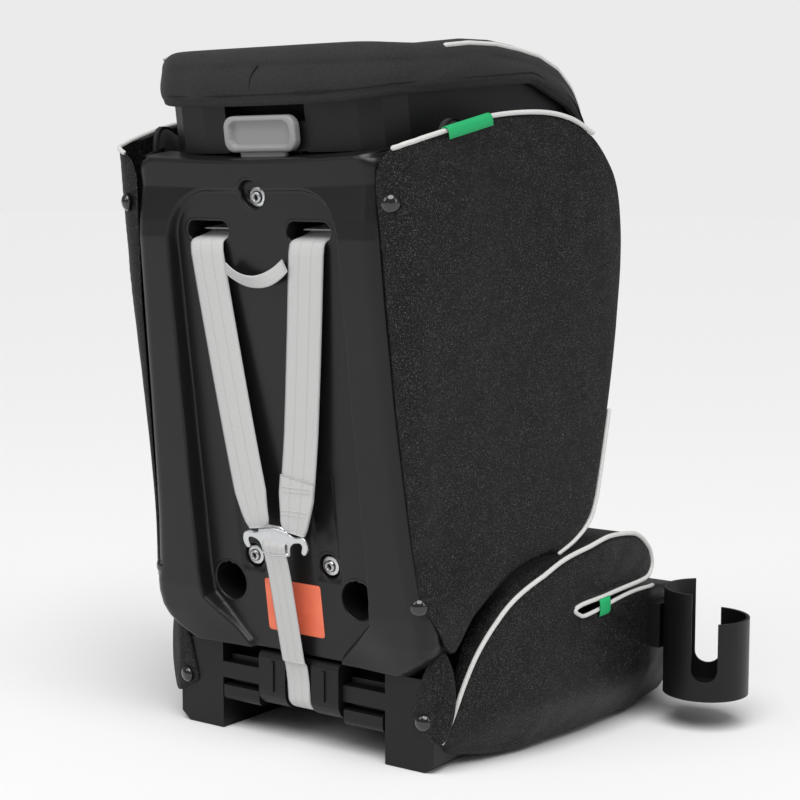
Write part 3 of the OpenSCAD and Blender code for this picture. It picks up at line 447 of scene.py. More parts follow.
def panel(name, outline, place, near, far, material, r=7.0, step=4.0, puff=0.0, reach=30.0, hollows=(),
        rough=0.0,
          seed=1, far_r=None, local=None):
    """A padded piece, filled between near(p) and far(p) inside an outline in two coordinates (mm).

    Edges are rounded by r, and local(p) scales the rounding. puff swells the far side by that much beyond
    reach from the edge. hollows are (polyline, depth, width) creases pressed into it. place(p, h) turns
    outline points and heights into points.
    """
    loop = resample(outline, step)
    if ((np.roll(loop, -1, 0) - loop)[:, 0] * (loop[:, 1] + np.roll(loop[:, 1], -1))).sum() > 0:
        loop = loop[::-1]
    n = len(loop)
    t = np.roll(loop, -1, 0) - np.roll(loop, 1, 0)
    t /= np.linalg.norm(t, axis=1)[:, None]
    normal = np.stack([-t[:, 1], t[:, 0]], 1)
    pts = [loop]
    for d in (0.03, 0.12, 0.3, 0.6, 1.0):
        ring = loop + normal * (d * r)
        ok = inside(ring, loop) & (distance_to(ring, loop) > d * r * 0.93)
        pts.append(ring[ok])
    lo, hi = loop.min(0), loop.max(0)
    gx, gy = np.meshgrid(np.arange(lo[0], hi[0], step), np.arange(lo[1], hi[1], step * 0.9))
    gx[::2] += step / 2
    g = np.stack([gx.ravel(), gy.ravel()], 1)
    g = g[inside(g, loop)]
    g = g[distance_to(g, loop) > r * 1.0 + step * 0.5]
    P = np.vstack(pts + [g])
    out = delaunay_2d_cdt([Vector(q) for q in P.tolist()], [(i, (i + 1) % n) for i in range(n)], [], 1, 1e-4)
    V = np.array([list(q) for q in out[0]])
    F = np.array([f for f in out[2] if len(f) == 3])
    dist = distance_to(V, loop)

    def rounding(radius):
        radius = radius * (local(V) if local else 1.0)
        k = np.clip(1 - dist / radius, 0, 1)
        return radius * (1 - np.sqrt(np.clip(1 - k * k, 0, 1)))
    top = far(V) - rounding(r) + puff * (1 - np.exp(-(np.maximum(dist - r * 0.5, 0) / reach) ** 1.3))
    for line, depth, width in hollows:
        q = np.asarray(line, float)
        a, b = q[:-1], q[1:]
        d = b - a
        tt = np.clip(((V[:, None] - a) * d).sum(-1) / (d ** 2).sum(1), 0, 1)
        dd = np.sqrt((((V[:, None] - a) - tt[..., None] * d) ** 2).sum(-1)).min(1)
        top -= depth * np.exp(-(dd / width) ** 2)
    if rough:
        top += rough * ripple(V, 38.0, seed) * smooth(0, r * 1.5, dist)
    fr = r if far_r is None else far_r
    low = near(V) + rounding(fr)
    # order the boundary once more, since the triangulation may have renumbered it
    e = np.sort(F[:, [[0, 1], [1, 2], [2, 0]]].reshape(-1, 2), 1)
    u, c = np.unique(e, axis=0, return_counts=True)
    bound = u[c == 1]
    m = len(V)
    a, b = V[F[:, 1]] - V[F[:, 0]], V[F[:, 2]] - V[F[:, 0]]
    flip = (a[:, 0] * b[:, 1] - a[:, 1] * b[:, 0]) < 0
    F[flip] = F[flip][:, ::-1]
    A = place(V, top)
    B = place(V, low)
    wall = np.concatenate([np.stack([bound[:, 0], bound[:, 1], bound[:, 1] + m], 1),
                           np.stack([bound[:, 0], bound[:, 1] + m, bound[:, 0] + m], 1)])
    faces = np.concatenate([F, F[:, ::-1] + m, wall])
    verts = np.concatenate([A, B])
    ob = mesh_from(name, verts, faces, material, uv=np.repeat((verts[faces.ravel()][:, 1:] * 10), 1,
            0).reshape(-1, 3, 2))
    bm = bmesh.new()
    bm.from_mesh(ob.data)
    bmesh.ops.recalc_face_normals(bm, faces=bm.faces)
    bm.to_mesh(ob.data)
    bm.free()
    return ob


def place_side(sign):
    """Outline in y, z; the third is the distance from the middle, to the left (+1) or right (-1)."""
    return lambda p, h: row(sign * h, p[:, 0], p[:, 1])


def level(height):
    """A flat near or far face."""
    return lambda p: np.full(len(p), float(height))


def on_back(p, h):
    """Outline in x, w, standing to the rear of the backrest."""
    return back(p[:, 0], h, p[:, 1])


def on_front(p, h):
    """Outline in x, w, standing to the child's side of the backrest."""
    return back(p[:, 0], -h, p[:, 1])


def place_side_back(sign):
    """Outline in v, w on the backrest, the same way as place_side."""
    return lambda p, h: back(sign * h, p[:, 0], p[:, 1])


def declare(ob, body, slot_name, *replaced, fill=None):
    """Body and replaced nodes of a finished piece: hides the replaced nodes and hangs the piece on its body;
    slot_name and fill are not used.
    """
    if replaced:
        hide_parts(*replaced)
    if body:
        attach(ob, body)
    return ob


# ---------------------------------------------------------------- rear shell
def shell_half_width(w):
    """Half width of the rear shell at a height, drawn in at the top corners."""
    x = np.interp(w, [32, 38, 45, 52, 62, 75, 88, 104, 150, 200, 260, 343, 410, 474],
                  [127, 137, 147, 153, 157, 158, 156, 152, 147, 144, 141, 137.5, 135, 134])
    k = np.clip((w - 464) / 10, 0, 1)
    return x - 9 * (1 - np.sqrt(1 - k * k * 0.98))


PANEL_LINE = np.array([(0, 448)] + [(50 + 42 * math.cos(a), 406 + 42 * math.sin(a)) for a in
                                    np.radians(np.linspace(90, 0, 14))] + [(94.5, 100), (93, 79), (51, 37),
                                    (46, 20), (0, 20)])


def shell_rise(x, w):
    """How far the shell's rear surface stands behind its plain band, in millimetres."""
    x = np.abs(x)
    q = np.stack([x, w], -1).reshape(-1, 2)
    loop = np.vstack([PANEL_LINE, PANEL_LINE[::-1][1:-1] * [-1, 1]])
    s = distance_to(q, loop)
    s = np.where(inside(q, loop), -s, s).reshape(np.shape(x))
    outer = np.interp(w, [32, 45, 60, 86, 150, 250, 343, 410, 425, 440, 452, 474], [6, 8.5, 11.5, 14.7, 14,
            12.5, 11, 9.5, 7, 3, 0, 0])
    low = 3 + (outer - 3) * smooth(34, 88, w)
    rail = low + (outer - low) * smooth(62, 122, x)
    d = -3 + (3 + rail) * smooth(-0.2, 3.8, s)
    # channels that run up from the lower screws
    ch = smooth(28.5, 31.5, x) * (1 - smooth(54.5, 57.5, x)) * smooth(103, 108, w) * (1 - smooth(196, 204, w))
    return d - 2.0 * ch


def build_shell():
    """Rear shell: the rear surface, its rolled flanks and edges, and its cut openings."""
    ws = np.concatenate([np.arange(32, 108, 1.5), np.arange(108, 396, 4.0), np.arange(396, 474.1, 1.3)])
    flat = np.concatenate([np.arange(0, 28, 3.5), np.arange(28, 60, 1.4), np.arange(60, 84, 1.7),
            np.arange(84, 104, 0.8)])
    cols, R = [], 15.0
    X, W = np.meshgrid(flat, ws)
    V = BACK_V + shell_rise(X, W)
    cols.append(np.stack([X, V, W], -1))
    xo = shell_half_width(ws)[:, None]
    mid = np.linspace(0, 1, 8)[None, :]
    X = 104 + (xo - R - 104) * mid
    Wm = np.broadcast_to(ws[:, None], X.shape)
    V = BACK_V + shell_rise(X, Wm)
    cols.append(np.stack([X, V, Wm], -1))
    a = np.linspace(0.08, 1, 14)[None, :] * np.pi / 2
    vt = BACK_V + shell_rise(xo - R, ws[:, None])
    X = xo - R + R * np.sin(a)
    cols.append(np.stack([X, vt - R + R * np.cos(a), np.broadcast_to(ws[:, None], X.shape)], -1))
    f = np.linspace(0.1, 1, 7)[None, :]
    V = vt - R + (-30.5 - (vt - R)) * f
    cols.append(np.stack([np.broadcast_to(xo, V.shape), V, np.broadcast_to(ws[:, None], V.shape)], -1))
    half = np.concatenate(cols, 1)
    other = half[:, 1:][:, ::-1] * [-1, 1, 1]
    P = np.concatenate([other, half], 1)
    # the top edge dishes a little, and both edges turn forward
    P[..., 2] += (-1.0 + 4.5 * (P[..., 0] / 134) ** 2) * smooth(420, 474, P[..., 2])
    def turned(edge, sign):
        out = []
        for k, (dv, dw) in enumerate(((-0.6, 1.3), (-2.2, 2.3), (-4.5, 2.6), (-14, 2.6), (-40, 2.6))):
            e = edge.copy()
            e[:, 1] = np.maximum(e[:, 1] + dv, -30.5)
            e[:, 2] += sign * dw
            out.append(e)
        return np.stack(out)
    P = np.concatenate([turned(P[0], -1)[::-1], P, turned(P[-1], 1)], 0)
    P[..., 2] = np.maximum(P[..., 2], 30.2)
    world = back(P[..., 0], P[..., 1], P[..., 2])
    ob = grid("rear_shell", world, SATIN)
    cut = [oblong(s * SLOT_X, SLOT_W, 48, 18) for s in (-1, 1)] + [disc(s * 73, 91, 18) for s in (-1, 1)]
    cut += [disc(s * 43, 118, 11.5) for s in (-1, 1)] + [keyhole()]
    bm = bmesh.new()
    bm.from_mesh(ob.data)
    bm.faces.ensure_lookup_table()
    flatP = P.reshape(-1, 3)
    idx = np.array([[v.index for v in f.verts] for f in bm.faces])
    mid = flatP[idx].mean(1)
    gone = np.zeros(len(mid), bool)
    for loop in cut:
        q = mid[:, [0, 2]]
        gone |= inside(q, loop) | ((distance_to(q, loop) < 1.2) & (np.abs(mid[:, 1]) < 40))
    bmesh.ops.delete(bm, geom=[bm.faces[i] for i in np.nonzero(gone)[0]], context="FACES")
    bm.to_mesh(ob.data)
    bm.free()
    declare(ob, "backrest", "black_plastic", "back_shell")
    names = ["slot_a", "slot_b", "hand_a", "hand_b", "seat_a", "seat_b", "seat_top"]
    for name, loop, depth, floor in zip(names, cut, (30, 30, 34, 34, 6, 6, 7), (0, 0, 0, 0, 1, 1, 1)):
        pocket("pocket_" + name, loop, depth, floor)


def oblong(x, w, width, height, n=48):
    """A slot with round ends."""
    a = np.linspace(0, 2 * np.pi, n, endpoint=False)
    r = height / 2
    return np.stack([x + np.sign(np.cos(a)) * (width / 2 - r) + r * np.cos(a), w + r * np.sin(a)], 1)


def disc(x, w, r, n=40):
    """A round outline."""
    a = np.linspace(0, 2 * np.pi, n, endpoint=False)
    return np.stack([x + r * np.cos(a), w + r * np.sin(a)], 1)


def keyhole():
    """The round seat of the top screw, drawn out a little to one side."""
    a = np.linspace(0, 2 * np.pi, 44, endpoint=False)
    grow = 12 + 3.5 * np.maximum(np.cos(a - 0.6), 0) ** 2
    return np.stack([grow * np.cos(a), 445 + grow * np.sin(a)], 1)


def pocket(name, loop, depth, floor):
    """A hollow with a soft lip, let into the rear surface along a closed line."""
    loop = resample(loop, 2.0)
    c = loop.mean(0)
    t = np.roll(loop, -1, 0) - np.roll(loop, 1, 0)
    t /= np.linalg.norm(t, axis=1)[:, None]
    out = np.stack([t[:, 1], -t[:, 0]], 1)
    out *= np.sign((out * (loop - c)).sum(1))[:, None]
    surf = shell_rise(loop[:, 0], loop[:, 1]) + BACK_V
    rings = []
    for off, dv in ((3.4, -0.5), (2.6, 0.12), (1.2, 0.2), (0.4, 0.0), (-0.1, -0.5), (-0.4, -1.5),
            (-0.7, -depth * 0.5), (-0.9, -depth)):
        q = loop + out * off
        s = shell_rise(q[:, 0], q[:, 1]) + BACK_V if off > 1 else surf
        rings.append(back(q[:, 0], s + dv, q[:, 1]))
    if floor:
        for k in (0.6, 0.02):
            q = c + (loop - c) * k
            rings.append(back(q[:, 0], surf.mean() - depth, q[:, 1]))
    ob = grid(name, np.stack(rings), SATIN, wrap_v=True)
    return declare(ob, "backrest", "black_plastic")


def lathe(name, profile, centre, axis, material, around=40):
    """A turned piece: profile of (radius, height) in millimetres round an axis through centre (metres)."""
    axis = Vector(axis).normalized()
    u = axis.orthogonal().normalized()
    v = axis.cross(u)
    th = np.linspace(0, 2 * np.pi, around, endpoint=False)
    pr = np.asarray(profile, float) / 1000
    c, a, u, v = (np.array(q) for q in (centre, axis, u, v))
    P = (c + pr[:, 1, None, None] * a + pr[:, 0, None, None]
         * (np.cos(th)[None, :, None] * u + np.sin(th)[None, :, None] * v))
    return grid(name, P, material, wrap_v=True)


REAR = np.array([0, CL, -SL])


def build_screws():
    """Washers and socket screws in the shell's three seats."""
    for k, (x, w) in enumerate(((43, 118), (-43, 118), (-1, 443))):
        base = BACK_V - 3 - 5.2
        c = back(x, base, w)
        ob = lathe(f"washer_{k}", [(0.1, 1.4), (8.3, 1.4), (9, 1.0), (9, 0.2), (8.6, 0)], c, REAR, ZINC)
        declare(ob, "backrest", "zinc", *(["back_washers"] if k == 0 else []))
        ob = lathe(f"screw_{k}", [(0.1, 1.2), (2.4, 1.3), (2.6, 3.6), (3.0, 4.4), (4.2, 4.2), (5.2, 3.2),
                (5.7, 1.6)], c, REAR, STEEL)
        declare(ob, "backrest", "steel", *(["back_screws"] if k == 0 else []))
        # a near-black dish down in each screw's socket: painted shade in the hollow
        ob = lathe(f"screw_socket_shade_{k}", [(0.1, 2.2), (1.0, 2.2), (2.3, 2.4)], c, REAR, DARK)
        declare(ob, "backrest", "steel")


build_shell()
build_screws()


# ---------------------------------------------------------------- side wings
WING = [(6, 482), (-4, 486), (-42, 491), (-96, 496), (-149, 493), (-183, 484), (-206, 471), (-218, 461),
        (-232, 444),
        (-242, 427), (-247, 409), (-248, 387), (-246, 360), (-239, 324), (-226, 272), (-211, 219),
        (-193, 158),
        (-186, 138), (-176, 122), (-158, 110), (-139, 103), (-118, 104), (-79, 98), (-35, 77), (-8, 52)]
HEM_W = [476, 440, 355, 268, 165, 104, 92, 80, 60, 49]
HEM_V = [8.5, 12, 16.5, 19, 20, 20.5, 18, 13, 5, -6]
HEM_X = [134, 133, 137.5, 140.5, 146, 151, 155, 160, 163, 160]


def wing_far(p):
    """Outer face of a wing's cover: a gentle flare, turned inward to its hem at the rear."""
    v, w = p[:, 0], p[:, 1]
    x = np.interp(-v, [-8, 10, 60, 120, 180, 240, 260], [147, 152, 168, 185, 201, 214, 217])
    x = x + ((1 - smooth(80, 150, w)) * 10 + smooth(140, 400, w) * 13) * smooth(-120, -10, v)
    hv, hx = np.interp(w, HEM_W[::-1], HEM_V[::-1]), np.interp(w, HEM_W[::-1], HEM_X[::-1])
    base = 152 + (1 - smooth(80, 150, w)) * 10 + smooth(140, 400, w) * 13
    t = np.clip((v + 10) / np.maximum(hv + 10, 2), 0, 1)
    bend = hx + (base - hx) * np.sqrt(1 - t ** 2 * 0.995)
    x = np.where(v > -10, bend, x)
    return x - 5 * (1 - smooth(-262, -205, v))


def wing_near(p):
    """Inner face of a wing's cover."""
    v = p[:, 0]
    return wing_far(p) - 3.2 - 5.0 * smooth(-20, -45, v) - 13 * smooth(-214, -232, v)


def build_wings():
    """Covers, piping, lobed pads, studs and loop tape of both wings."""
    hem = [(np.interp(w, HEM_W[::-1], HEM_V[::-1]), w) for w in (60, 70, 80, 92, 104, 130, 165, 215, 268,
            310, 355, 400, 440, 465)]
    outline = spline(WING + hem, 620, closed=True)
    for side, s in (("left", 1), ("right", -1)):
        body = panel("wing_" + side, outline, place_side_back(s), wing_near, wing_far, GRAIN, r=5.5,
                step=4.5, puff=1.5,
                     reach=40, rough=0.35, seed=3 if s > 0 else 4, far_r=1.2,
                     local=lambda p: 0.22 + 0.78 * smooth(0, -34, p[:, 0]))
        declare(body, "backrest", "grain_cover", "wing_cover_" + side, fill=0.5)
        # piping along the top and front rim, and again at the front's lower end
        rim = np.array([q for q in spline(WING[:14], 200)])
        xo = wing_far(rim)
        path = back(s * (xo - 0.6), rim[:, 0], rim[:, 1] + 0.8)
        keep = path[:118]
        ob = tube(f"wing_piping_{side}", keep, 0.0021, PIPE)
        declare(ob, "backrest", "grain_cover")
        low = spline(WING[15:21], 60)
        ob = tube(f"wing_piping_low_{side}", back(s * (wing_far(low) - 0.6), low[:, 0], low[:, 1]), 0.0019,
                PIPE)
        declare(ob, "backrest", "grain_cover")
        # child's side pad, swollen in three lobes
        pad_line = [(-42, 470), (-100, 480), (-150, 476), (-190, 462), (-214, 440), (-228, 410),
                (-230, 380), (-222, 320),
                    (-206, 262), (-190, 200), (-176, 150), (-150, 118), (-110, 114), (-72, 116), (-46, 124)]
        pad = spline(pad_line, 420, closed=True)
        lobes = [([(-240, 330), (-44, 345)], 7, 7), ([(-240, 220), (-44, 236)], 7, 7)]
        ob = panel("wing_lobes_" + side, pad, lambda p, h, s=s: back(-s * h, p[:, 0], p[:, 1]),
                   lambda p: -(wing_far(p) - 8.6), lambda p: -(wing_far(p) - 20), KNIT, r=9, step=6, puff=9,
                   reach=24,
                   hollows=lobes, rough=0.8, seed=9)
        declare(ob, "backrest", "charcoal_knit", "wing_pad_" + side, fill=0.7)
        for k, (w, v, x) in enumerate(((439, 12.0, 147), (99, 20.5, 148))):
            c = back(s * x, v, w)
            n = np.array([s * 0.62, 0.78 * CL, -0.78 * SL])
            ob = lathe(f"wing_stud_{side}_{k}", [(0.05, 4.4), (2.5, 4.2), (5, 3.3), (7, 1.7), (8, 0.2),
                    (8.2, -1.2), (7.6, -2.4)], c, n, STUD)
            declare(ob, "backrest", "stud", *(["wing_studs"] if k == 0 and s > 0 else []))
    # woven loop tape folded over the right wing's top piping
    v = np.linspace(-36, -90, 26)
    w = np.interp(-v, [4, 42, 96, 149], [486, 491, 496, 493])
    rimx = wing_far(np.stack([v, w], 1))
    rows_ = []
    for dx, dw in ((3.4, -6.0), (3.5, -2.5), (3.4, 0.5), (2.2, 2.9), (0, 3.8), (-2.4, 3.0), (-3.6, 0.8),
            (-3.9, -3), (-4, -7)):
        rows_.append(back(-(rimx + dx), v + 0.04 * dw, w + dw))
    ob = grid("wing_tape", np.stack(rows_), GREEN)
    solid = ob.modifiers.new("thick", "SOLIDIFY")
    solid.thickness = 0.0009
    declare(ob, "backrest", "green_tape", "wing_tab")


# ---------------------------------------------------------------- base covers
def base_half_width(y, z):
    """Half width of the base covers, drawn in near the ground."""
    x = np.interp(y, [-190, -185, -180, -130, -60, 20, 100, 150, 185, 200],
                  [176, 180, 182, 207, 213, 208, 195, 178, 161, 152])
    return x * (0.875 + 0.125 * smooth(-10, 55, z))


CREST = [(191, 27), (187, 55), (165, 107), (133, 145), (81, 171), (37, 181), (10, 186), (-25, 184),
        (-44, 178), (-60, 164),
         (-66, 150), (-62, 142), (-50, 136.5), (1, 133), (44, 129.5), (56, 127)]
SLIT_LOW = [(58, 123.5), (52, 119.5), (44, 117.5), (20, 121), (-6, 125), (-36, 127.5), (-68, 127),
        (-110, 121), (-158, 112),
            (-184, 100)]
UNDER = [(-194, 84), (-196, 50), (-188, 16), (-129, 7), (-22, 5), (60, 4.5), (114, 3), (160, 9), (184, 15)]


def build_base_covers():
    """Bolster and armrest covers with their piping, studs and loop tape."""
    outline = np.vstack([spline(CREST, 300), spline(SLIT_LOW, 150), spline(UNDER, 200)])
    for side, s in (("left", 1), ("right", -1)):
        far = lambda p: base_half_width(p[:, 0], p[:, 1])
        near = lambda p: np.minimum(far(p) - 12, 150 + 0 * p[:, 0])
        ob = panel("base_cover_" + side, outline, place_side(s), near, far, GRAIN, r=5.5, step=4.2,
                puff=1.5, reach=30,
                   rough=0.5, seed=21 if s > 0 else 22, far_r=2,
                   hollows=[([(86, 122), (120, 112), (160, 92)], 0.8, 7)])
        declare(ob, "base", "grain_cover", "side_bolster_" + side, "armrest_pad_" + side, fill=0.6)
        crest = spline(CREST, 260)
        xo = base_half_width(crest[:, 0], crest[:, 1]) - 0.8
        ob = tube("base_piping_" + side, row(s * xo, crest[:, 0] + 0.3, crest[:, 1]), 0.0021, PIPE)
        declare(ob, "base", "grain_cover")
        low = spline([(57, 124.5)] + SLIT_LOW[:7], 120)
        xo = base_half_width(low[:, 0], low[:, 1]) - 0.8
        ob = tube("base_piping_low_" + side, row(s * xo, low[:, 0], low[:, 1] + 0.6), 0.0019, PIPE)
        declare(ob, "base", "grain_cover")
        # the cover's turned edge on the base's rear face
        wrap = spline([(151, 113), (141, 98), (133.5, 82), (128, 62), (124, 42), (136, 34), (150, 27),
                (157, 34), (163, 60), (161, 92)],
                      220, closed=True)
        ob = panel("base_wrap_" + side, wrap, lambda p, h, s=s: row(s * p[:, 0], h, p[:, 1]),
                   lambda p: 198.5 - 0.45 * np.maximum(p[:, 0] - 146, 0),
                   lambda p: 202.4 - 0.45 * np.maximum(p[:, 0] - 146, 0),
                   GRAIN, r=1.6, step=3.5, puff=0.6, reach=14, rough=0.3, seed=31)
        declare(ob, "base", "grain_cover")
        # stud at the cover's rear lower corner
        c = row(s * 137, 203, 45)
        ob = lathe("base_stud_" + side, [(0.05, 4.4), (2.5, 4.2), (5, 3.3), (7, 1.7), (8, 0.2), (8.2, -1.2),
                (7.6, -2.4)],
                   c, (s * 0.3, 0.95, -0.05), STUD)
        declare(ob, "base", "stud", *(["base_studs"] if s > 0 else []))
    # green loop tape at the right slit
    y = np.linspace(12, 27, 10)
    rows_ = []
    for dx, z in ((1.2, 131), (2.0, 127), (2.2, 122), (2.0, 118), (1.0, 115.5)):
        rows_.append(row(-(base_half_width(y, z + 0 * y) + dx), y, z + (y - 20) * -0.08))
    ob = grid("base_tape", np.stack(rows_), GREEN)
    solid = ob.modifiers.new("thick", "SOLIDIFY")
    solid.thickness = 0.0011
    declare(ob, "base", "green_tape", "base_tab")


def build_seat():
    """Seat cushion and the pads beside it."""
    ob = panel("seat_pad", rounded_rect(-112, 112, -196, 138, 22), lambda p, h: row(p[:, 0], p[:, 1], h),
               lambda p: np.interp(p[:, 1], [-196, -188, -184], [72, 72, 82.6]), lambda p: np.interp(
                   p[:, 1], [-196, -180, -150, 100, 138], [104, 114, 119, 119, 118]), KNIT, r=14, step=7,
                   puff=7,
               reach=30, rough=1.0, seed=31, far_r=3,
               hollows=[([(-70, -170), (-64, 120)], 5, 5), ([(70, -170), (64, 120)], 5, 5),
               ([(-110, -60), (110, -60)], 4, 5)])
    declare(ob, "base", "charcoal_knit", "seat_cushion", fill=0.7)
    for s in (1, -1):
        line = spline([(138, 84), (134, 112), (112, 136), (70, 154), (20, 164), (-20, 160), (-42, 142),
                (-70, 130), (-120, 128),
                       (-150, 118), (-152, 84), (0, 83)], 300, closed=True)
        ob = panel("seat_side_" + ("left" if s > 0 else "right"), line, lambda p, h, s=s: row(s * (262 - h),
                p[:, 0], p[:, 1]),
                   level(122.3), level(140.0), KNIT, r=9, step=6, puff=7, reach=18,
                   rough=0.8, seed=33)
        declare(ob, "base", "charcoal_knit", *(["seat_side_pads"] if s > 0 else []), fill=0.7)


def rounded_rect(x0, x1, y0, y1, r):
    """A rectangle with round corners."""
    pts = []
    for cx, cy, a in ((x1 - r, y1 - r, 0), (x0 + r, y1 - r, 90), (x0 + r, y0 + r, 180), (x1 - r, y0 + r,
            270)):
        t = np.radians(np.linspace(a, a + 90, 10))
        pts.append(np.stack([cx + r * np.cos(t), cy + r * np.sin(t)], 1))
    return np.vstack(pts)


def build_back_cushion():
    """Back cushion, shoulder pads and crotch pad."""
    line = spline([(-112, 98), (-130, 116), (-132, 200), (-130, 400), (-118, 424), (0, 424), (118, 424),
            (130, 400), (132, 200),
                   (130, 116), (112, 98), (0, 96)], 360, closed=True)
    ob = panel("back_pad", line, on_front, level(45),
               level(74.5), KNIT, r=13, step=7, puff=7, reach=26, rough=1.0, seed=41,
               hollows=[([(-92, 110), (-88, 410)], 5, 5), ([(92, 110), (88, 410)], 5, 5),
               ([(-90, 190), (90, 190)], 4, 5),
                        ([(-90, 270), (90, 270)], 4, 5), ([(-82, 414), (-30, 414)], 9, 5),
                        ([(30, 414), (82, 414)], 9, 5)])
    declare(ob, "backrest", "charcoal_knit", "back_cushion", fill=0.7)
    for k, s in enumerate((1, -1)):
        ob = panel("shoulder_pad_" + ("left" if s > 0 else "right"), rounded_rect(s * 56 - 25, s * 56 + 25,
                226, 390, 10),
                   on_front, level(83.2), level(90.5), KNIT,
                   r=4, step=5, puff=2.5, reach=10, rough=0.4, seed=43 + k)
        declare(ob, "backrest", "charcoal_knit", *(["shoulder_pads"] if k == 0 else []), fill=0.7)
    ob = panel("crotch_cushion", rounded_rect(-19, 19, 90, 133, 8), lambda p, h: row(p[:, 0], h - 30,
            p[:, 1]),
               level(-7), level(7.0), KNIT, r=4, step=4, puff=1.5, reach=8, seed=47)
    declare(ob, "base", "charcoal_knit", "crotch_pad", fill=0.7)


# ---------------------------------------------------------------- headrest
def head_line(n):
    """The headrest's outer line in plan: x and v along a U from the right wing's tip round the back."""
    half = [(0, -8), (40, -8), (78, -9.5), (104, -14), (122, -26), (132, -44), (137, -70), (143, -115),
            (150, -165),
            (158, -215), (164, -250), (165, -266), (160, -275), (150, -278)]
    pts = [(-x, v) for x, v in half[::-1][:-1]] + half
    return spline(pts, n)


def head_top_w(v):
    """Height of the headrest's top edge at a depth."""
    return np.interp(-v, [8, 71, 126, 160, 189, 215, 238, 255, 266, 274, 280],
                     [567, 561, 560, 556, 549, 541, 528, 510, 489, 466, 452])


def build_headrest():
    """Headrest cushion as one section swept along its U, with hem, piping, seams and head pad."""
    L = head_line(300)
    t = np.gradient(L, axis=0)
    t /= np.linalg.norm(t, axis=1)[:, None]
    inward = np.stack([-t[:, 1], t[:, 0]], 1)
    c = np.array([0, -150.0])
    inward *= np.sign(((c - L) * inward).sum(1))[:, None]
    top = head_top_w(L[:, 1])
    hem = np.interp(-L[:, 1], [0, 30, 200, 255, 275], [518, 520, 512, 480, 452]) + 3 * (L[:, 0] / 165) ** 2
    hem = np.minimum(hem, top - 32)
    # section: hem edge, outer face, rounded rim, down over the child's side
    sec = []
    R = 15.0
    def at(inset, w):
        q = L + inward * inset[:, None] if np.ndim(inset) else L + inward * inset
        return back(q[:, 0], q[:, 1], w)
    one = np.ones(len(L))
    for inset, up_ in ((6.0, 1.0), (3.0, 0.0), (0.9, 0.4), (0.3, 1.6)):
        sec.append(at(inset * one, hem + up_))
    span_h = top - R - hem
    for k in np.linspace(0.06, 1, 16):
        bulge = 3.0 * math.sin(math.pi * min(k * 0.9 + 0.1, 1.0)) + 0.9 * ripple(np.stack([L[:, 0], L[:, 1],
                k * 60 + 0 * one], 1), 60, 5)
        sec.append(at(-bulge * smooth(0, 0.25, k), hem + span_h * k))
    for a in np.radians(np.linspace(8, 90, 10)):
        sec.append(at(R * (1 - np.cos(a)), top - R + R * np.sin(a)))
    wide = 34.0
    for a in np.radians(np.linspace(8, 90, 9)):
        sec.append(at(wide - R + R * np.sin(a), top - R + R * np.cos(a) - 0.0))
    low = np.minimum(438 + 0 * top, top - 40)
    for k in np.linspace(0.08, 1, 16):
        swell = 6 * math.sin(math.pi * k) ** 0.7
        sec.append(at(wide + swell + 0 * one, (top - R) + (low - (top - R)) * k))
    for dx, dw in ((-6, -5), (-16, -7), (-20, -3)):
        sec.append(at((wide + dx) * one, low + dw))
    P = np.stack(sec)
    # each wing's tip is closed by a rounded end
    for end in (0, -1):
        edge = P[:, end]
        middle = edge.mean(0)
        front = back(0, -280, 450) - back(0, -274, 450)
        caps = [middle + (edge - middle) * k + front * g for k, g in ((0.93, 0.5), (0.75, 0.9), (0.4, 1.1),
                (0.02, 1.15))]
        caps = np.stack(caps if end else caps[::-1], 1)
        P = np.concatenate([P, caps] if end else [caps, P], 1)
    ob = grid("headrest_cushion", P, KNIT)
    sub = ob.modifiers.new("sub", "SUBSURF")
    sub.levels = sub.render_levels = 1
    declare(ob, "headrest", "charcoal_knit", "headrest_cover", "headrest_pad", fill=0.7)
    # hem band with its stitching
    band = []
    for dw, off in ((0.2, 0.4), (0.8, -0.6), (4.5, -1.5), (8.2, -1.7), (8.8, -0.9), (8.9, 0.2)):
        g = L + inward * off
        band.append(back(g[:, 0], g[:, 1], hem + dw))
    ob = grid("headrest_hem", np.stack(band), KNIT)
    declare(ob, "headrest", "charcoal_knit")
    # piping along the right and left wings' top edge
    for s, name in ((-1, "right"), (1, "left")):
        sel = L[(np.sign(L[:, 0]) == s) & (L[:, 1] < (-96 if s < 0 else -30)) & (L[:,
                1] > (-400 if s < 0 else -44))]
        sel = sel[np.argsort(-sel[:, 1])]
        tt = head_top_w(sel[:, 1])
        iw = np.stack([-np.sign(sel[:, 0]), 0 * sel[:, 1]], 1)
        g = sel + iw * 4.5
        path = back(g[:, 0], g[:, 1], tt - 4.2)
        ob = tube("headrest_piping_" + name, path, 0.0021, PIPE)
        declare(ob, "headrest", "charcoal_knit")
    # back seam
    w = np.linspace(526, 552, 20)
    k = (w - 526) / 26
    ob = tube("headrest_seam", back(4 + 4 * k * (1 - k) - 9 * k ** 3,
            -8 + 2.7 * np.sin(np.pi * (0.15 + 0.8 * k)), w), 0.0007, DARK, around=6)
    declare(ob, "headrest", "charcoal_knit")
    g = L + inward * -2.4
    ob = tube("headrest_hem_seam", back(g[:, 0], g[:, 1], hem + 9.6), 0.0007, DARK, around=6)
    declare(ob, "headrest", "charcoal_knit")
    # head cushion against the back frame
    line = spline([(-96, 436), (-104, 470), (-104, 540), (-92, 560), (0, 562), (92, 560), (104, 540),
            (104, 470), (96, 436), (0, 434)],
                  260, closed=True)
    ob = panel("head_pad", line, on_front, level(46), level(62),
               KNIT, r=9, step=6, puff=8, reach=22, rough=0.7, seed=51)
    declare(ob, "headrest", "charcoal_knit", fill=0.7)


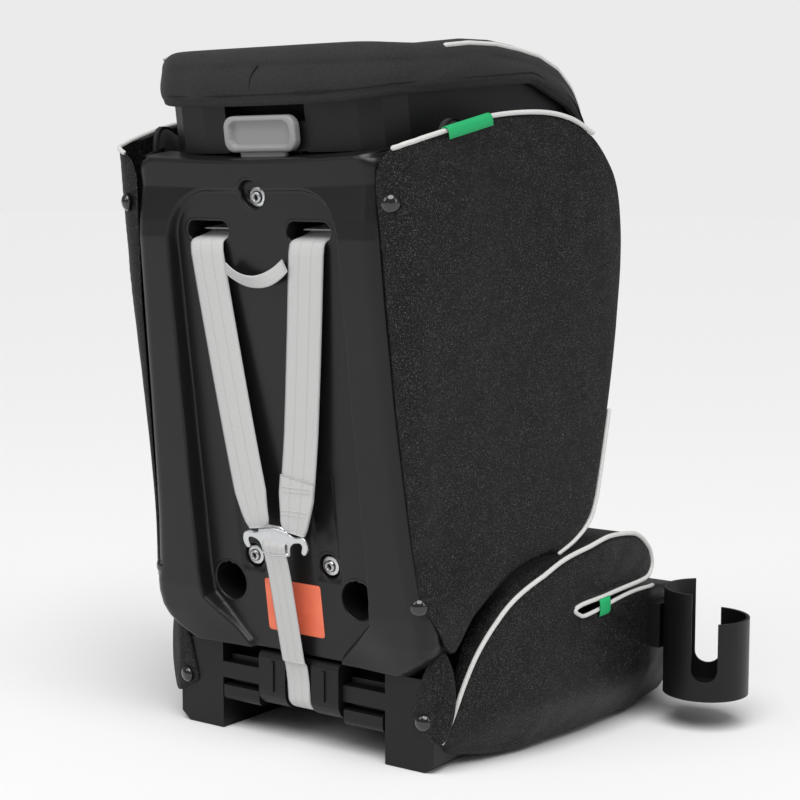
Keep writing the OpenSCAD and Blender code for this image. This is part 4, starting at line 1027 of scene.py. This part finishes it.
# ---------------------------------------------------------------- harness
def rear_strap_path(s):
    """Middle line of a rear strap: over the slot's lower lip, down and inward to the yoke's hook."""
    pts = [(s * 56, -22, 411.4), (s * 56, -6, 408.4), (s * 56, 6.5, 406.9), (s * 55.9, 10.8, 404.6),
            (s * 55.4, 12.6, 399), (s * 54.2, 13.6, 388),
           (s * 46, 16.0, 320), (s * 35, 19.0, 236), (s * 26, 21.4, 178), (s * 22.5, 21.8, 160),
           (s * 21, 21.4, 151)]
    return spline(pts, 150)


def build_straps():
    """All webbing: rear, cross, adjuster, shoulder and lap straps."""
    for side, s in (("left", 1), ("right", -1)):
        p = rear_strap_path(s)
        path = back(p[:, 0], p[:, 1], p[:, 2])
        sidedir = np.tile([1.0, 0.0, 0.0], (len(p), 1))
        width = np.interp(p[:, 2], [148, 158, 184, 414], [0.021, 0.029, 0.0375, 0.038])
        lift = np.interp(p[:, 2], [146, 175, 240], [0.0016, 0.0012, 0.0]) * (1 if s < 0 else 0.1)
        path = path + REAR * lift[:, None]
        ob = ribbon("rear_strap_band_" + side, path, sidedir, width, 0.0014, WEB, bow=np.interp(p[:, 2],
                [150, 250, 380, 410], [0, 0.0008, 0.0008, 0]))
        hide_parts("rear_strap_" + side)
        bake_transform(ob)
        # the end is doubled back and sewn
        if s > 0:
            continue
        k = p[:, 2] < 202
        q = p[k]
        path2 = back(q[:, 0], q[:, 1], q[:, 2]) + REAR * (lift[k][:, None] + 0.0017)
        ob = ribbon("strap_end_" + side, path2, sidedir[k], width[k] * 1.02, 0.0016, WEB)
        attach(ob, "harness_yoke")
        for w0 in (168, 172, 190, 194):
            i = np.argmin(np.abs(q[:, 2] - w0))
            c = path2[i] + REAR * 0.0010
            t = np.linspace(-0.42, 0.42, 24)
            ob = tube(f"stitch_{side}_{w0}", c + np.outer(t * width[k][i], [1, 0, 0]), 0.00035, STITCH,
                    around=5)
            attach(ob, "harness_yoke")
    # cross strap: a shallow loop between the two rear straps
    x = np.linspace(-37, 37, 60)
    x = x * 0.9
    w = 389 - 17 * (1 - (x / 37) ** 2) ** 0.9 - x * 0.05
    v = 15.9 + 1.4 * (1 - (x / 37) ** 2)
    path = back(x, v, w)
    t = np.gradient(path, axis=0)
    t /= np.linalg.norm(t, axis=1)[:, None]
    sd = np.cross(t, np.broadcast_to(REAR, t.shape)) + REAR * 0.5 * np.sin(x / 37 * 1.5 + 0.5)[:, None]
    ob = ribbon("cross_band", path, sd, np.interp(np.abs(x), [0, 20, 37], [0.0115, 0.013, 0.015]), 0.0013,
            WEB)
    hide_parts("cross_strap")
    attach(ob, "backrest")
    # adjuster strap: from the yoke down to the shell's edge, then over the guide and under the seat
    a = spline([(0, 25.0, 143.5), (0, 28.6, 139), (0, 27.8, 132), (0, 24.6, 110), (0, 21.5, 75), (0, 18.2,
            36), (0, 17.2, 26)], 90)
    ob = ribbon("adjuster_band_back", back(a[:, 0], a[:, 1], a[:, 2]), np.tile([1.0, 0, 0], (len(a), 1)),
            0.026, 0.0014, WEB)
    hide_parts("adjuster_strap_back")
    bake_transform(ob)
    e = back(0, 17.2, 27) * 1000
    b = spline([(e[1], e[2]), (207.5, 76), (204.6, 62), (203.4, 50), (202.2, 41), (197.5, 35.2),
            (190, 32.4), (178, 30.0), (150, 28), (60, 27.6),
                (-136, 27.6), (-148, 51), (-170, 52.6), (-193, 52.6), (-200, 47), (-202.5, 30), (-203, 6)],
                220)
    ob = ribbon("adjuster_band_base", row(0 * b[:, 0], b[:, 0], b[:, 1]), np.tile([1.0, 0, 0], (len(b), 1)),
            0.026, 0.0014, WEB)
    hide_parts("adjuster_strap_base")
    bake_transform(ob)
    # front: shoulder straps and lap straps
    for side, s in (("left", 1), ("right", -1)):
        p = spline([(s * 56, -8, 413.6), (s * 56, -60, 413.4), (s * 56, -82, 411), (s * 56, -86.5, 400),
                (s * 56, -87, 388), (s * 55.6, -87, 300), (s * 55, -86.4, 232), (s * 53, -90, 200),
                    (s * 50, -90, 172)], 120)
        ob = ribbon("shoulder_band_" + side, back(p[:, 0], p[:, 1], p[:, 2]), np.tile([1.0, 0, 0],
                (len(p), 1)), 0.038, 0.0014, WEB)
        if s > 0:
            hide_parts("shoulder_straps")
        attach(ob, "backrest")
        end = back(s * 50, -90, 172) * 1000
        q = spline([tuple(end), (s * 46, 60, 216), (s * 30, 0, 213), (s * 19, -22, 206), (s * 18, -26.6,
                197)], 80)
        sd = np.tile([1.0, 0.0, 0.0], (len(q), 1))
        width = np.interp(np.linspace(0, 1, len(q)), [0, 0.8, 1], [0.038, 0.034, 0.027])
        ob = ribbon("shoulder_run_" + side, row(q[:, 0], q[:, 1], q[:, 2]), sd, width, 0.0014, WEB)
        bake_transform(ob)
        q = spline([(s * 18, -25.4, 196), (s * 26, -12, 190), (s * 48, 30, 160), (s * 68, 80, 139),
                (s * 82, 118, 130.5), (s * 84, 131, 126),
                    (s * 84, 134.8, 112), (s * 84, 134.8, 70)], 110)
        ob = ribbon("lap_band_" + side, row(q[:, 0], q[:, 1], q[:, 2]), np.tile([1.0, -0.35 * s, 0.1],
                (len(q), 1)),
                    np.interp(np.linspace(0, 1, len(q)), [0, 0.25, 1], [0.026, 0.03, 0.03]), 0.0014, WEB)
        if s > 0:
            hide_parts("lap_straps")
        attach(ob, "base")


def build_yoke():
    """Cast yoke: a waisted plate with a hook at each end and a slot below for the adjuster strap."""
    half = spline([(0, 157), (8, 156.5), (14, 152), (22, 148.5), (31, 149), (35.5, 146), (36.8, 140),
            (34.6, 134.5), (31.6, 132.6),
                   (29.2, 135.2), (30.6, 140.5), (28.6, 143.2), (22, 142.4), (17.4, 139.0), (15.6, 133),
                   (14.2, 129.4), (0, 129)], 90)
    line = np.vstack([half, half[::-1][1:-1] * [-1, 1]])
    ob = panel("yoke", line, on_back, level(23.4), level(26.8), ZINC, r=1.2,
               step=0.9)
    declare(ob, "harness_yoke", "zinc", "harness_yoke")
    for name, pts, r in (("yoke_bar_top", [(-15, 26.8, 151.5), (0, 27.6, 154), (15, 26.8, 151.5)], 0.0019),
                         ("yoke_bar_low", [(-13.5, 27.0, 131.5), (0, 27.4, 130.6), (13.5, 27.0, 131.5)],
                         0.0017)):
        q = spline(pts, 30)
        ob = tube(name, back(q[:, 0], q[:, 1], q[:, 2]), r, ZINC)
        declare(ob, "harness_yoke", "zinc")


def build_lever():
    """A framed pull: a rounded rim round a shallow dish, with a tongue below it."""
    pw = TOP_W + 4
    outer = rounded_rect(-39.5, 39.5, pw + 1.5, pw + 32.5, 10)
    ob = panel("lever", outer, on_back, level(-14.5),
               lambda p: np.where(inside(p, rounded_rect(-33, 33, pw + 6.5, pw + 27.5, 7)), -10.5,
               -5.6) + 0.0, GREY, r=2.2, step=1.3)
    declare(ob, "headrest_lever", "grey_plastic", "headrest_lever")
    ob = panel("lever_tongue", rounded_rect(-25, 25, pw - 5.5, pw + 6, 3), on_back,
               level(-14), level(-8.5), GREY, r=1.5, step=1.5)
    declare(ob, "headrest_lever", "grey_plastic")


build_wings()
build_base_covers()
build_seat()
build_back_cushion()
build_headrest()
build_straps()
build_yoke()
build_lever()

# blank label
ob = panel("label", rounded_rect(-32, 32, 50, 99, 1.5), on_back, level(8.4),
           level(8.85), ORANGE, r=0.15, step=3)
declare(ob, "backrest", "orange_label", "back_label")

# ---------------------------------------------------------------- finishes of the CAD pieces that stay
FINISH = {"black_plastic": BLACK, "charcoal_knit": KNIT, "grain_cover": GRAIN, "webbing": WEB, "zinc": ZINC,
        "steel": STEEL,
          "grey_plastic": GREY, "stud": STUD, "orange_label": ORANGE, "green_tape": GREEN, "red_plastic": RED}
slots = {p["node"]: p["material_slot"] for p in frame["record"]["subparts"]}
for name, ob in frame["nodes"].items():
    ob.data.materials.clear()
    ob.data.materials.append(FINISH[slots[name]])
    if not ob.hide_render:
        b = ob.modifiers.new("edges", "BEVEL")
        b.width, b.segments, b.limit_method, b.angle_limit = 0.0009, 2, "ANGLE", math.radians(35)
        b.harden_normals = False
frame["nodes"]["cup_holder"].data.materials[0] = CUP

# ---------------------------------------------------------------- stage, light and camera
bpy.ops.mesh.primitive_plane_add(size=60, location=(0, 0, -0.0004))
floor = bpy.context.object
floor.name = "floor"
floor.data.materials.append(material("floor", (0.87, 0.87, 0.87), 0.95, plastic_detail(0.0, 0.01)))


def area(name, loc, target, size, power, colour=(1, 1, 1)):
    """A soft lamp aimed at a point."""
    light = bpy.data.lights.new(name, "AREA")
    light.energy, light.shape, light.color = power, "RECTANGLE", colour
    light.size, light.size_y = size
    ob = bpy.data.objects.new(name, light)
    ob.location = loc
    ob.rotation_euler = (Vector(target) - Vector(loc)).to_track_quat("-Z", "Y").to_euler()
    bpy.context.collection.objects.link(ob)
    return ob


area("key", (0.9, 2.0, 1.7), (0, 0, 0.3), (0.9, 1.3), 9)
area("side", (-2.4, 0.3, 1.3), (0, 0, 0.3), (0.8, 1.5), 8)
sun = bpy.data.objects.new("sun", bpy.data.lights.new("sun", "SUN"))
sun.data.energy, sun.data.angle = 2.75, math.radians(50)
sun.rotation_euler = Vector((0.28, -0.41, -0.87)).to_track_quat("-Z", "Y").to_euler()
bpy.context.collection.objects.link(sun)
world = bpy.data.worlds.new("studio")
bpy.context.scene.world = world
world.use_nodes = True
sky = world.node_tree.nodes["Background"]
sky.inputs[0].default_value = (0.83, 0.83, 0.83, 1)
seen = world.node_tree.nodes.new("ShaderNodeLightPath")
power = world.node_tree.nodes.new("ShaderNodeMapRange")
power.inputs[3].default_value, power.inputs[4].default_value = 0.3, 1.0
world.node_tree.links.new(seen.outputs["Is Camera Ray"], power.inputs[0])
world.node_tree.links.new(power.outputs[0], sky.inputs[1])
bpy.context.scene.view_settings.view_transform = "Standard"

cam = bpy.data.objects.new("camera", bpy.data.cameras.new("camera"))
bpy.context.collection.objects.link(cam)
cam.location = (-1.0129, 1.4426, 0.500)
pitch, turn = math.radians(6.595), math.radians(36)
aim = Vector((math.sin(turn) * math.cos(pitch), -math.cos(turn) * math.cos(pitch), -math.sin(pitch)))
cam.rotation_euler = aim.to_track_quat("-Z", "Y").to_euler()
cam.data.lens, cam.data.sensor_width, cam.data.sensor_fit = 81.74, 36.0, "HORIZONTAL"
cam.data.clip_start, cam.data.clip_end = 0.05, 50
bpy.context.scene.camera = cam
